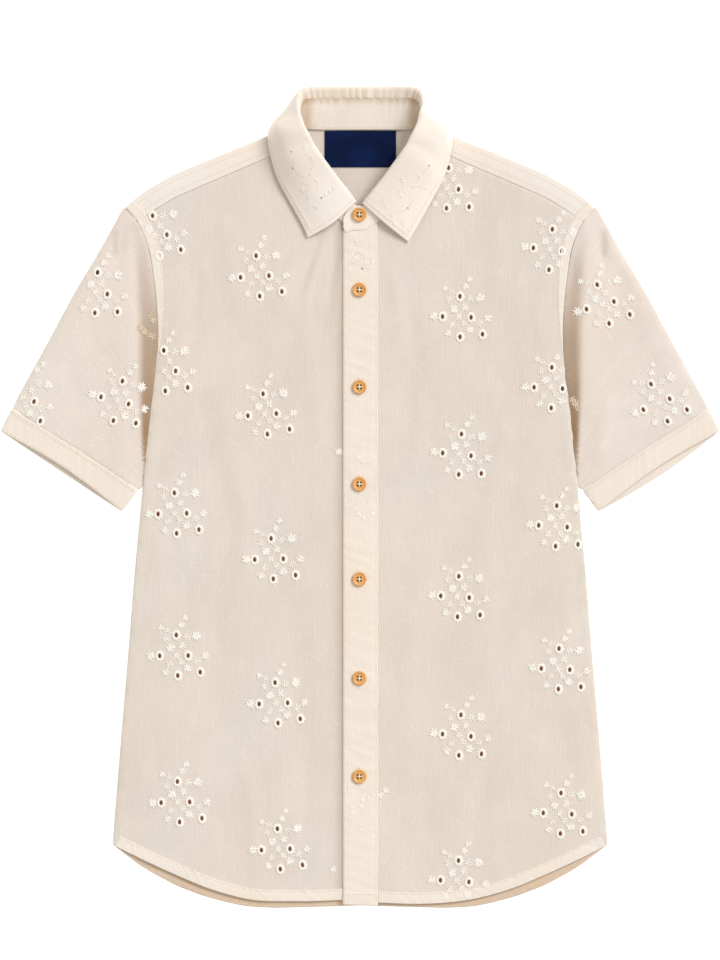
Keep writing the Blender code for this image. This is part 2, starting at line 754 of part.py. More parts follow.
def make_placket(material):
    """The button strip, on the wearer's left front where it laps over the right one."""
    under = UPPER_LAYER + LAP_LIFT + CLOTH_WALL + SEAM_GAP
    corners = ((-LAP, PLACKET_TOP), (-LAP, PLACKET_BOTTOM), (LAP, PLACKET_BOTTOM - 1), (LAP, PLACKET_TOP))
    outline = [Vector(corner) for corner in corners]

    def wall(_x, y):
        """The strip's thickness, with its end turned up."""
        turned = 1 - smooth_step(HEM_WIDTH - 0.5, HEM_WIDTH + 0.5, y - PLACKET_BOTTOM)
        return PLACKET_WALL + HEM_RAISE * turned

    steps = []
    for reach in (HEM_WIDTH - 0.5, HEM_WIDTH + 0.5):
        steps.append([Vector((x, PLACKET_BOTTOM + reach)) for x in (-LAP + 0.5, LAP - 0.5)])
    lay_panel("front_placket", outline, lambda _x, _y: under, wall, material, lines=steps, with_grid=False)
    return under + PLACKET_WALL


def button_mesh(material):
    """A turned button with a raised rim, a dished face and four holes."""
    half, rim = BUTTON_THICKNESS / 2, BUTTON_RADIUS - BUTTON_RIM
    profile = (
        (0.0, half - BUTTON_DISH),
        (rim - 0.8, half - BUTTON_DISH),
        (rim, half),
        (BUTTON_RADIUS - 0.5, half),
        (BUTTON_RADIUS, 0.2),
        (rim, -half),
        (0.0, -half),
    )
    form = bmesh.new()
    line = [form.verts.new((x * MM, 0, z * MM)) for x, z in profile]
    for a, b in zip(line, line[1:]):
        form.edges.new((a, b))
    mesh = bpy.data.meshes.new("button_profile")
    form.to_mesh(mesh)
    form.free()
    turned = bpy.data.objects.new("button_turned", mesh)
    bpy.context.scene.collection.objects.link(turned)
    screw = turned.modifiers.new("turn", "SCREW")
    screw.steps = BUTTON_SEGMENTS
    screw.render_steps = BUTTON_SEGMENTS
    screw.use_merge_vertices = True
    screw.merge_threshold = 0.00001
    drill = bmesh.new()
    for k in range(4):
        angle = math.pi * (k + 0.5) / 2
        made = bmesh.ops.create_cone(
            drill,
            cap_ends=True,
            segments=6,
            radius1=BUTTON_HOLE_RADIUS * MM,
            radius2=BUTTON_HOLE_RADIUS * MM,
            depth=2 * BUTTON_THICKNESS * MM,
        )
        place = Vector((math.cos(angle), math.sin(angle), 0)) * BUTTON_HOLE_SPREAD * MM
        bmesh.ops.translate(drill, verts=made["verts"], vec=place)
    cutter_mesh = bpy.data.meshes.new("button_holes")
    drill.to_mesh(cutter_mesh)
    drill.free()
    cutter = bpy.data.objects.new("button_holes", cutter_mesh)
    bpy.data.collections["cutters"].objects.link(cutter)
    cutter.hide_render = True
    cutter.display_type = "WIRE"
    cut = turned.modifiers.new("thread holes", "BOOLEAN")
    cut.operation = "DIFFERENCE"
    cut.object = cutter
    bpy.context.view_layer.update()
    shaped = turned.evaluated_get(bpy.context.evaluated_depsgraph_get())
    result = bpy.data.meshes.new_from_object(shaped)
    result.materials.append(material)
    bpy.data.objects.remove(turned)
    result.shade_smooth()
    result.set_sharp_from_angle(angle=math.radians(40))
    return result


def make_buttons(placket_top, material):
    """Six buttons down the placket and one on the collar stand."""
    mesh = button_mesh(material)
    half = BUTTON_THICKNESS / 2
    foot, seam = Vector(COLLAR[-1].foot), Vector(COLLAR[-1].seam)
    slope = math.atan2(seam.z - foot.z, seam.y - foot.y)
    stand_middle = foot.z + STAND_LIFT + (STAND_BUTTON.y - foot.y) * math.tan(slope)
    stand_top = stand_middle + DOUBLE_WALL / 2 / math.cos(slope)
    places = {"button_collar": (STAND_BUTTON.x, STAND_BUTTON.y, stand_top + SEAM_GAP + half)}
    for number, y in enumerate(BUTTON_HEIGHTS, 1):
        places[f"button_{number}"] = (BUTTON_X, y, placket_top + SEAM_GAP + half)
    for name, place in places.items():
        made = bpy.data.objects.new(name, mesh)
        bpy.data.collections["embroidered_shirt"].objects.link(made)
        made.parent = bpy.data.objects["shirt_centre"]
        made.location = Vector(place) * MM
    bpy.data.objects["button_collar"].rotation_euler.x = slope


def make_label(material):
    """A bare woven label on the inside of the yoke, below the neck seam."""
    corners = ((-1, LABEL_BOTTOM), (1, LABEL_BOTTOM), (1, LABEL_TOP), (-1, LABEL_TOP))
    outline = [Vector((side * LABEL_HALF_WIDTH, y)) for side, y in corners]

    def under(_x, _y):
        """The height of the underside, above the yoke's inner side."""
        return CLOTH_WALL + SEAM_GAP

    def wall(_x, _y):
        """The thickness."""
        return LABEL_WALL

    lay_panel("neck_label", outline, under, wall, material, with_grid=False)


def main():
    """Builds the shirt."""
    for existing in list(bpy.data.objects):
        bpy.data.objects.remove(existing)
    for name in ("embroidered_shirt", "cutters"):
        bpy.context.scene.collection.children.link(bpy.data.collections.new(name))
    centre = bpy.data.objects.new("shirt_centre", None)
    centre.location = (0, CENTRE_SHIFT_Y * MM, 0)
    bpy.data.collections["embroidered_shirt"].objects.link(centre)
    cloth = finish_material("cotton_voile", CLOTH_COLOUR, 0.9)
    double = finish_material("double_cotton", DOUBLE_CLOTH_COLOUR, 0.9)
    inner = finish_material("cotton_yoke", INNER_CLOTH_COLOUR, 0.9)
    coconut = finish_material("coconut_shell", COCONUT_COLOUR, 0.45)
    woven = finish_material("label_satin", LABEL_COLOUR, 0.5)
    make_back(cloth)
    make_yoke(inner)
    for side in (LEFT, RIGHT):
        make_front(side, cloth)
        make_sleeve(side, cloth)
        make_band(side, double)
    make_collar_stand(double)
    make_collar_leaf(double)
    placket_top = make_placket(double)
    make_buttons(placket_top, coconut)
    make_label(woven)


main()
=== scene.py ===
"""Looks of the embroidered short-sleeved shirt: thin cloth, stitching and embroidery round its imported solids.

Plan sizes are in millimetres of the shirt's own frame, and meshes are in metres. X runs across the shirt, with
the wearer's left at +X, Y runs up to the collar, and Z is the height above the floor.
"""

from __future__ import annotations

import logging
import math
from collections.abc import Callable, Sequence
from dataclasses import dataclass, field
from enum import Enum

import bmesh
import bpy
import numpy as np
from mathutils import Matrix, Vector
from mathutils.bvhtree import BVHTree
from mathutils.geometry import delaunay_2d_cdt


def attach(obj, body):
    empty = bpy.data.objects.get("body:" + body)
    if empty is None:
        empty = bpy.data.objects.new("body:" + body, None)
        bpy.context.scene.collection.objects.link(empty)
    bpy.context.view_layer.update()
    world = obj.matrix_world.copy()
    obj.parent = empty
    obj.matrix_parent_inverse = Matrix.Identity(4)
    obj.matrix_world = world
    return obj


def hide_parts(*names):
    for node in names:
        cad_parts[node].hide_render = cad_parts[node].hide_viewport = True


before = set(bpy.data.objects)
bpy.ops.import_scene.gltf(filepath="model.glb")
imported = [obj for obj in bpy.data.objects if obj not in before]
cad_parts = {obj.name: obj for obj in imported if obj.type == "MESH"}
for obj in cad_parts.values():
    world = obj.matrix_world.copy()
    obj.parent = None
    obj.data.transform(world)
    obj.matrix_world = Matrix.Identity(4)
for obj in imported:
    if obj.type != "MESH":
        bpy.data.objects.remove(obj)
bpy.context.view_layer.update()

LOG = logging.getLogger("shirt")
MM = 0.001
ORIGIN_Y = -1.6
ABOVE = 100.0
Height = Callable[[np.ndarray, np.ndarray], np.ndarray]


class Side(Enum):
    """The wearer's side, with its sign along X."""

    LEFT = 1
    RIGHT = -1

    @property
    def word(self) -> str:
        """The side's name as the nodes have it."""
        return self.name.lower()


# Lines and surfaces in arrays
def soft(low: float, high: float, value: np.ndarray) -> np.ndarray:
    """A soft step.

    Args:
        low: Where the step starts.
        high: Where it ends.
        value: What is looked at.

    Returns:
        0 before low, 1 past high, with a smooth change between.
    """
    t = np.clip((value - low) / (high - low), 0.0, 1.0)
    return t * t * (3 - 2 * t)


def bell(value: np.ndarray, reach: float) -> np.ndarray:
    """1 where the value is 0, falling softly away over reach."""
    return np.exp(-((value / reach) ** 2))


def spline(points: np.ndarray, count: int) -> np.ndarray:
    """A smooth curve through points.

    Args:
        points: The points, along the first axis.
        count: How many steps each stretch gets.

    Returns:
        The curve's points, along the first axis.
    """
    points = np.asarray(points, float)
    padded = np.concatenate([points[:1], points, points[-1:]])
    before, start, end, after = padded[:-3], padded[1:-2], padded[2:-1], padded[3:]
    shares = np.arange(count) / count
    rows = []
    for t in shares:
        bend = (2 * before - 5 * start + 4 * end - after) * t**2
        twist = (3 * start - before - 3 * end + after) * t**3
        rows.append(0.5 * (2 * start + (end - before) * t + bend + twist))
    curve = np.stack(rows, axis=1).reshape(-1, *points.shape[1:])
    return np.concatenate([curve, points[-1:]])


def run_of(line: np.ndarray) -> np.ndarray:
    """The distance along a line at each of its points."""
    return np.concatenate([[0.0], np.cumsum(np.linalg.norm(np.diff(line, axis=0), axis=1))])


def runs_of(surface: np.ndarray, axis: int) -> np.ndarray:
    """The distance along each column of a grid of points, or with axis 1 along each row."""
    steps = np.linalg.norm(np.diff(surface, axis=axis), axis=2)
    return np.concatenate([np.zeros_like(np.take(steps, [0], axis)), np.cumsum(steps, axis=axis)], axis=axis)


def at_stations(line: np.ndarray, stations: np.ndarray) -> np.ndarray:
    """The points of a line at the given distances along it."""
    run = run_of(line)
    return np.stack([np.interp(stations, run, line[:, k]) for k in range(line.shape[1])], axis=1)


def evenly(line: np.ndarray, step: float) -> np.ndarray:
    """A line's points again, about step apart."""
    length = run_of(line)[-1]
    return at_stations(line, np.linspace(0, length, max(2, round(length / step) + 1)))


def edged_stations(length: float, step: float, edge: float) -> np.ndarray:
    """Distances along a length, close together near both ends so that its edges can be rounded.

    Args:
        length: The whole length.
        step: The spacing in the middle.
        edge: The reach of the rounding at each end.

    Returns:
        The distances, from 0 to length.
    """
    close = np.array([0.0, 0.06, 0.3, 0.65]) * edge
    middle = np.linspace(edge, length - edge, max(2, round((length - 2 * edge) / step) + 1))
    return np.concatenate([close, middle, length - close[::-1]])


def left_of(line: np.ndarray) -> np.ndarray:
    """Unit vectors in plan that point to the left of a line, at each of its points."""
    along = np.gradient(line[:, :2], axis=0)
    turned = np.stack([-along[:, 1], along[:, 0]], axis=1)
    return turned / np.linalg.norm(turned, axis=1, keepdims=True)


def rotated(x: np.ndarray, y: np.ndarray, degrees: float) -> np.ndarray:
    """Places in plan turned about the origin."""
    c, s = math.cos(math.radians(degrees)), math.sin(math.radians(degrees))
    return np.stack([x * c - y * s, x * s + y * c], axis=-1)


def rays(angle: np.ndarray, reach: np.ndarray) -> np.ndarray:
    """Places in plan along each of k angles, at its own n reaches: k by n by 2."""
    return np.stack([np.cos(angle), np.sin(angle)], axis=1)[:, None] * reach[..., None]


def inside(points: np.ndarray, loop: np.ndarray) -> np.ndarray:
    """Whether each point lies inside a closed loop in plan."""
    found = np.zeros(len(points), bool)
    x, y = points[:, 0], points[:, 1]
    for a, b in zip(loop, np.roll(loop, -1, axis=0)):
        if a[1] == b[1]:
            continue
        crosses = (a[1] > y) != (b[1] > y)
        found ^= crosses & (x < a[0] + (b[0] - a[0]) * (y - a[1]) / (b[1] - a[1]))
    return found


def distance(points: np.ndarray, line: np.ndarray) -> np.ndarray:
    """The distance in plan from each point to a line of points."""
    best = np.full(len(points), np.inf)
    for start, end in zip(line[:-1, :2], line[1:, :2]):
        chord = end - start
        share = np.clip((points - start) @ chord / max(chord @ chord, 1e-9), 0, 1)
        best = np.minimum(best, np.linalg.norm(points - start - share[:, None] * chord, axis=1))
    return best


def closed(loop: np.ndarray) -> np.ndarray:
    """A loop with its first point again at its end."""
    return np.concatenate([loop, loop[:1]])


def rounded_corners(loop: np.ndarray, step: float, corner: float = 32.0) -> np.ndarray:
    """A loop of chords made smooth between its corners.

    Args:
        loop: The loop's points.
        step: The spacing of the new points.
        corner: The turn, in degrees, from which a point stays a corner.

    Returns:
        The smooth loop.
    """
    along = np.roll(loop, -1, axis=0) - loop
    heading = np.unwrap(np.arctan2(along[:, 1], along[:, 0]))
    turn = np.abs((heading - np.roll(heading, 1) + math.pi) % math.tau - math.pi)
    corners = np.flatnonzero(turn > math.radians(corner))
    if len(corners) == 0:
        return evenly(spline(closed(loop), 6), step)[:-1]
    stretches = []
    for start, end in zip(corners, np.append(corners[1:], corners[0] + len(loop))):
        stretch = loop[np.arange(start, end + 1) % len(loop)]
        stretches.append(evenly(spline(stretch, 6), step)[:-1])
    return np.concatenate(stretches)


# Finishes
def linear(red: int, green: int, blue: int) -> tuple[float, float, float, float]:
    """A screen colour as the linear one that a shader takes."""
    shares = np.array([red, green, blue]) / 255
    low = shares / 12.92
    high = ((shares + 0.055) / 1.055) ** 2.4
    return (*np.where(shares <= 0.04045, low, high).tolist(), 1.0)


@dataclass
class NodeBench:
    """A new node material, with short ways to add and join its nodes."""

    name: str

    def __post_init__(self) -> None:
        """Makes the material with its Principled shader."""
        self.material = bpy.data.materials.new(self.name)
        self.material.use_nodes = True
        self.tree = self.material.node_tree
        self.shader = self.tree.nodes["Principled BSDF"]

    def set(self, **values: float | tuple[float, ...]) -> None:
        """Sets the shader's own sockets, with _ for a space in their names."""
        for name, value in values.items():
            self.shader.inputs[name.replace("_", " ")].default_value = value

    def add(
        self, kind: str, inputs: dict[str | int, object] | None = None, **settings: object
    ) -> bpy.types.Node:
        """Adds a node.

        Args:
            kind: The node's type, without ShaderNode.
            inputs: Values, or sockets to join, by the input's name or number.
            settings: The node's own properties.

        Returns:
            The node.
        """
        node = self.tree.nodes.new("ShaderNode" + kind)
        for name, value in settings.items():
            setattr(node, name, value)
        for name, value in (inputs or {}).items():
            if isinstance(value, bpy.types.NodeSocket):
                self.tree.links.new(value, node.inputs[name])
            else:
                node.inputs[name].default_value = value
        return node

    def math(self, operation: str, *values: object) -> bpy.types.NodeSocket:
        """One Math node's result."""
        return self.add("Math", dict(enumerate(values)), operation=operation).outputs[0]

    def place(self, turn: float) -> bpy.types.NodeSocket:
        """The object's own coordinates, turned about the upright."""
        place = self.add("TexCoord").outputs["Object"]
        return self.add("Mapping", {"Vector": place, "Rotation": (0, 0, math.radians(turn))}).outputs[0]

    def tone(self) -> bpy.types.NodeSocket:
        """The tone written on the mesh's points."""
        return self.add("Attribute", attribute_name="tone").outputs["Fac"]

    def noise(
        self, scale: tuple[float, float, float], turn: float, detail: float, bent: float = 0.0
    ) -> bpy.types.NodeSocket:
        """Noise over the object's own coordinates.

        Args:
            scale: Grains to a metre along each axis.
            turn: The grain's turn about the upright, in degrees.
            detail: How many finer layers it has.
            bent: How far its grains are bent out of line.

        Returns:
            The noise's value.
        """
        sized = self.add("Mapping", {"Vector": self.place(turn), "Scale": scale}).outputs[0]
        settings = {"Vector": sized, "Scale": 1.0, "Detail": detail, "Distortion": bent}
        return self.add("TexNoise", settings).outputs[0]

    def ranged(
        self, value: bpy.types.NodeSocket, low: float, high: float, to: tuple[float, float]
    ) -> bpy.types.NodeSocket:
        """A value mapped from low and high to two others, and held between them."""
        inputs = {"Value": value, 1: low, 2: high, 3: to[0], 4: to[1]}
        return self.add("MapRange", inputs).outputs[0]

    def mix(self, share: object, first: object, second: object, blend: str = "MIX") -> bpy.types.NodeSocket:
        """Two colours mixed."""
        inputs = {0: share, 6: first, 7: second}
        return self.add("Mix", inputs, data_type="RGBA", blend_type=blend).outputs[2]

    def tinted(self, colour: object, gain: bpy.types.NodeSocket) -> bpy.types.NodeSocket:
        """A colour times a gain."""
        tint = self.add("CombineColor", {0: gain, 1: gain, 2: gain}).outputs[0]
        return self.mix(1.0, colour, tint, "MULTIPLY")

    def colour(self, socket: bpy.types.NodeSocket) -> None:
        """Joins a colour to the shader."""
        self.tree.links.new(socket, self.shader.inputs["Base Color"])

    def bump(self, height: bpy.types.NodeSocket, depth: float, strength: float = 1.0) -> None:
        """Joins a height, of the given depth in metres, to the shader's normal."""
        made = self.add("Bump", {"Height": height, "Distance": depth, "Strength": strength})
        self.tree.links.new(made.outputs[0], self.shader.inputs["Normal"])


@dataclass(frozen=True)
class Cotton:
    """Slubby cotton voile: its face, its shaded tone, and how its threads run.

    turn is the warp's turn in degrees, slub the share that thick threads lighten, and cloud the slow variation.
    A tone of 1 takes the shade, a painted shade. A tone of 2 takes through: a painted brown shade on covered
    cloth, with a painted glow that stands for the light that the layer above lets pass.
    """

    name: str
    face: tuple[int, int, int]
    shade: tuple[int, int, int]
    turn: float = 0.0
    slub: float = 0.065
    cloud: float = 0.06
    weave: float = 1600.0
    # The painted brown shade of covered cloth, and how strongly it glows as painted light.
    through: tuple[int, int, int] = (148, 102, 62)
    painted_glow: float = 0.4

    def material(self) -> bpy.types.Material:
        """Makes the cloth's material."""
        bench = NodeBench(self.name)
        bench.set(Roughness=0.88, Specular_IOR_Level=0.22, Sheen_Weight=0.22, Sheen_Roughness=0.45)
        warp = bench.noise((900, 38, 900), self.turn, 2.0, 0.15)
        weft = bench.noise((30, 850, 850), self.turn, 2.0, 0.15)
        first, second = (bench.noise((520, 95, 520), self.turn + lean, 1.0, 1.0) for lean in (34, -48))
        drift = bench.noise((17, 12, 17), self.turn, 3.0)
        patch = bench.noise((62, 34, 62), self.turn + 9, 2.0)
        thick = bench.ranged(warp, 0.50, 0.76, (0.0, 1.15))
        across = bench.ranged(weft, 0.54, 0.78, (0.0, 0.6))
        loose = bench.ranged(bench.math("MAXIMUM", first, second), 0.60, 0.72, (0.0, 0.95))
        threads = bench.math("MAXIMUM", bench.math("ADD", thick, across), loose)
        slow = bench.ranged(drift, 0.3, 0.7, (-1.0, 1.0))
        slow = bench.math("ADD", slow, bench.ranged(patch, 0.3, 0.7, (-0.5, 0.5)))
        gain = bench.math("MULTIPLY_ADD", threads, self.slub, 1 - self.slub * 0.35)
        gain = bench.math("MULTIPLY_ADD", slow, self.cloud * 0.5, gain)
        tone = bench.tone()
        warm = tuple(np.array(self.face) * (1.003, 0.992, 0.976))
        hue = bench.ranged(bench.noise((9, 5, 9), self.turn + 20, 2.0), 0.35, 0.65, (0.0, 1.0))
        # Tone 1 mixes in the painted shade; tone 2 mixes in the painted brown shade and makes it glow as painted
        # light.
        shaded = bench.math("MINIMUM", tone, 1.0)
        covered = bench.math("MAXIMUM", bench.math("SUBTRACT", tone, 1.0), 0.0)
        cloth = bench.mix(shaded, bench.mix(hue, linear(*self.face), linear(*warm)), linear(*self.shade))
        brown = linear(*self.through)
        bench.colour(bench.mix(covered, bench.tinted(cloth, gain), brown))
        painted_glow_tint = bench.mix(covered, (0.0, 0.0, 0.0, 1.0), brown)
        bench.tree.links.new(painted_glow_tint, bench.shader.inputs["Emission Color"])
        bench.set(Emission_Strength=self.painted_glow)
        part = bench.add("SeparateXYZ", {0: bench.place(self.turn)}).outputs
        across, down = (bench.math("MULTIPLY", part[k], self.weave * math.pi) for k in (0, 1))
        ends, picks = bench.math("SINE", across), bench.math("SINE", down)
        woven = bench.math("MULTIPLY", ends, picks)
        relief = bench.math("MULTIPLY_ADD", woven, 0.25, bench.math("MULTIPLY", threads, 0.8))
        bench.bump(relief, 0.00022, 0.6)
        return bench.material


@dataclass(frozen=True)
class Floss:
    """Stitching thread: twisted, a little brighter than the cloth."""

    name: str
    face: tuple[int, int, int]
    roughness: float = 0.6

    def material(self) -> bpy.types.Material:
        """Makes the thread's material."""
        bench = NodeBench(self.name)
        bench.set(Roughness=self.roughness, Specular_IOR_Level=0.35, Sheen_Weight=0.3, Sheen_Roughness=0.4)
        fine = bench.noise((1500, 1500, 1500), 0.0, 2.0)
        slow = bench.noise((90, 90, 90), 0.0, 1.0)
        gain = bench.ranged(fine, 0.3, 0.7, (0.92, 1.02))
        gain = bench.math("ADD", gain, bench.ranged(slow, 0.3, 0.7, (-0.02, 0.02)))
        bench.colour(bench.tinted(linear(*self.face), gain))
        bench.bump(fine, 0.0002, 0.5)
        return bench.material


@dataclass(frozen=True)
class CoconutShell:
    """Polished coconut shell, with fine brown grain across each button. A tone of 1 is painted shade, the dark
    inside its holes.
    """

    name: str = "coconut_shell"
    face: tuple[int, int, int] = (238, 178, 106)
    grain: tuple[int, int, int] = (188, 122, 58)
    # The painted shade inside the drilled holes.
    hole: tuple[int, int, int] = (124, 74, 34)

    def material(self) -> bpy.types.Material:
        """Makes the shell's material."""
        bench = NodeBench(self.name)
        bench.set(Roughness=0.42, Specular_IOR_Level=0.45, Coat_Weight=0.12, Coat_Roughness=0.25)
        streak = bench.noise((240, 1300, 500), 24.0, 3.0)
        fleck = bench.noise((1900, 1900, 1900), 0.0, 2.0)
        body = bench.noise((150, 150, 150), 0.0, 1.0)
        share = bench.ranged(streak, 0.40, 0.72, (0.0, 0.5))
        share = bench.math("ADD", share, bench.ranged(fleck, 0.60, 0.78, (0.0, 0.35)))
        share = bench.math("ADD", share, bench.ranged(body, 0.35, 0.65, (-0.10, 0.14)))
        shell = bench.mix(share, linear(*self.face), linear(*self.grain))
        bench.colour(bench.mix(bench.tone(), shell, linear(*self.hole)))
        bench.bump(streak, 0.0001, 0.3)
        return bench.material


@dataclass(frozen=True)
class Satin:
    """Woven label satin in one deep colour, mixed toward a lighter blue along its ribs and in soft patches of
    painted sheen.
    """

    name: str = "label_satin"
    face: tuple[int, int, int] = (0, 15, 50)
    # The lighter blue of the ribs and of the painted sheen.
    light: tuple[int, int, int] = (4, 33, 84)

    def material(self) -> bpy.types.Material:
        """Makes the satin's material."""
        bench = NodeBench(self.name)
        bench.set(Roughness=0.55, Specular_IOR_Level=0.1, Sheen_Weight=0.0, Sheen_Roughness=0.35)
        ribs = bench.noise((60, 2600, 60), 0.0, 1.0)
        painted_sheen = bench.noise((40, 60, 40), 30.0, 1.0)
        share = bench.ranged(ribs, 0.4, 0.7, (0.0, 0.35))
        share = bench.math("ADD", share, bench.ranged(painted_sheen, 0.35, 0.7, (0.0, 0.45)))
        bench.colour(bench.mix(share, linear(*self.face), linear(*self.light)))
        bench.bump(ribs, 0.0001, 0.5)
        return bench.material


@dataclass(frozen=True)
class Finishes:
    """Every finish of the shirt, made once."""

    body: bpy.types.Material
    sleeves: dict[Side, bpy.types.Material]
    double: bpy.types.Material
    stand: bpy.types.Material
    yoke: bpy.types.Material
    hem: bpy.types.Material
    floss: bpy.types.Material
    shaded_floss: bpy.types.Material
    tonal: bpy.types.Material
    core: bpy.types.Material
    seam: bpy.types.Material
    vine: bpy.types.Material
    coconut: bpy.types.Material
    button_thread: bpy.types.Material
    label: bpy.types.Material

    @classmethod
    def make(cls) -> Finishes:
        """Makes all the materials."""
        # The sleeves' shade is painted shade for the valley by the body and a crease near the shoulder.
        tan = (160, 130, 98)
        voile = (235, 224, 215)
        voiles = {side: Cotton(f"voile_sleeve_{side.word}", voile, tan, 32 * side.value) for side in Side}
        return cls(
            body=Cotton("cotton_voile", (229, 219, 209), (140, 100, 62)).material(),
            sleeves={side: voile.material() for side, voile in voiles.items()},
            double=Cotton("double_cotton", (243, 233, 222), (196, 166, 134), 0, 0.025, 0.04).material(),
            # The stand and leaf cloth is a lighter copy of the doubled cloth, painted light against the shade of
            # its tilted faces; its shade is the painted shade of the collar's bends and roll.
            stand=Cotton("stand_cotton", (251, 242, 232), (206, 178, 148), 0, 0.02, 0.04).material(),
            # The yoke's shade is the painted shade inside the neck.
            yoke=Cotton("yoke_cotton", (244, 235, 226), (224, 214, 203), 0, 0.03, 0.04).material(),
            # The hem cloth is a darker copy, painted shade for the back's hem strip under the fronts' edge.
            hem=Cotton("hem_cotton_painted_shade", (225, 202, 179), (206, 178, 148), 0, 0.03, 0.05).material(),
            floss=Floss("embroidery_floss", (255, 250, 241)).material(),
            shaded_floss=Floss("shaded_floss", (228, 208, 182)).material(),
            tonal=Floss("tonal_floss", (251, 242, 231)).material(),
            # Dark thread in the pinholes, painted shade of the holes.
            core=Floss("pinhole_shade_thread", (128, 90, 56)).material(),
            seam=Floss("seam_thread", (224, 205, 182), 0.7).material(),
            vine=Floss("vine_thread", (238, 222, 202), 0.7).material(),
            coconut=CoconutShell().material(),
            button_thread=Floss("button_thread", (255, 244, 214)).material(),
            label=Satin().material(),
        )


# Meshes
class Form:
    """Points and faces gathered for one mesh, in millimetres, with a tone at each point."""

    def __init__(self) -> None:
        """Starts with nothing."""
        self.points: list[np.ndarray] = []
        self.tones: list[np.ndarray] = []
        self.faces: list[np.ndarray] = []
        self.count = 0

    def add(self, points: np.ndarray, *faces: np.ndarray, tone: float | np.ndarray = 0.0) -> None:
        """Adds points and their faces.

        Args:
            points: The points, n by 3.
            faces: Arrays of faces, each m by 3 or m by 4, which number these points.
            tone: How far each point leans to the finish's shaded tone.
        """
        self.points.append(points)
        self.tones.append(np.broadcast_to(tone, len(points)))
        self.faces += [f + self.count for f in faces if len(f)]
        self.count += len(points)

    def build(self, name: str, finish: bpy.types.Material, slot: str) -> bpy.types.Object:
        """Makes the object, smooth shaded, riding on the shirt's one body.

        Args:
            name: The piece's name.
            finish: Its material.
            slot: The record's material slot; not used.

        Returns:
            The object.
        """
        mesh = bpy.data.meshes.new(name)
        points = np.concatenate(self.points) * MM
        mesh.vertices.add(len(points))
        mesh.vertices.foreach_set("co", points.astype(np.float32).ravel())
        corners = np.concatenate([f.ravel() for f in self.faces])
        sizes = np.concatenate([np.full(len(f), f.shape[1]) for f in self.faces])
        mesh.loops.add(len(corners))
        mesh.loops.foreach_set("vertex_index", corners.astype(np.int32))
        mesh.polygons.add(len(sizes))
        mesh.polygons.foreach_set("loop_start", np.concatenate([[0], np.cumsum(sizes)[:-1]]).astype(np.int32))
        mesh.update(calc_edges=True)
        mesh.validate()
        tone = mesh.attributes.new("tone", "FLOAT", "POINT")
        tone.data.foreach_set("value", np.concatenate(self.tones).astype(np.float32))
        mesh.shade_smooth()
        mesh.materials.append(finish)
        made = bpy.data.objects.new(name, mesh)
        bpy.context.scene.collection.objects.link(made)
        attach(made, "root")
        triangles = int((sizes - 2).sum())
        LOG.info("%s: %d triangles", name, triangles)
        return made


def grid_faces(index: np.ndarray, flip: bool = False) -> np.ndarray:
    """The quads of a grid of point numbers, turned over if flip is set."""
    quads = np.stack([index[:-1, :-1], index[1:, :-1], index[1:, 1:], index[:-1, 1:]], axis=-1).reshape(-1, 4)
    return quads[:, ::-1] if flip else quads


def normals_of(surface: np.ndarray) -> np.ndarray:
    """Unit normals of a grid of points, from its rows to its columns by the right hand."""
    down = np.gradient(surface, axis=0)
    over = np.gradient(surface, axis=1)
    cross = np.cross(down, over)
    return cross / np.maximum(np.linalg.norm(cross, axis=2, keepdims=True), 1e-9)


def pillow(
    form: Form,
    surface: np.ndarray,
    thickness: float,
    edge: float = 0.8,
    tone: np.ndarray | float = 0.0,
) -> None:
    """Adds a sheet of cloth with rounded edges, from a grid of points in its middle.

    Args:
        form: What it is added to.
        surface: The grid, n by m by 3.
        thickness: The cloth's thickness.
        edge: The reach of the rounding from each border.
        tone: The tone over the grid.
    """
    rows, columns = surface.shape[:2]
    normal = normals_of(surface)
    run, reach = runs_of(surface, 0), runs_of(surface, 1)
    gap = np.minimum(np.minimum(run, run[-1:] - run), np.minimum(reach, reach[:, -1:] - reach))
    near = np.clip(1 - gap / edge, 0, 1)
    full = np.sqrt(1 - near**2)[..., None]
    upper = surface + normal * full * thickness / 2
    lower = surface - normal * full * (thickness / 2)
    inner = np.zeros((rows, columns), bool)
    inner[1:-1, 1:-1] = True
    top = np.arange(rows * columns).reshape(rows, columns)
    bottom = top.copy()
    bottom[inner] = rows * columns + np.arange(int(inner.sum()))
    tones = np.broadcast_to(tone, (rows, columns))
    form.add(
        np.concatenate([upper.reshape(-1, 3), lower[inner]]),
        grid_faces(top),
        grid_faces(bottom, flip=True),
        tone=np.concatenate([tones.ravel(), tones[inner]]),
    )


SPINDLE = np.array([0.12, 0.72, 1.0, 0.78, 0.12])


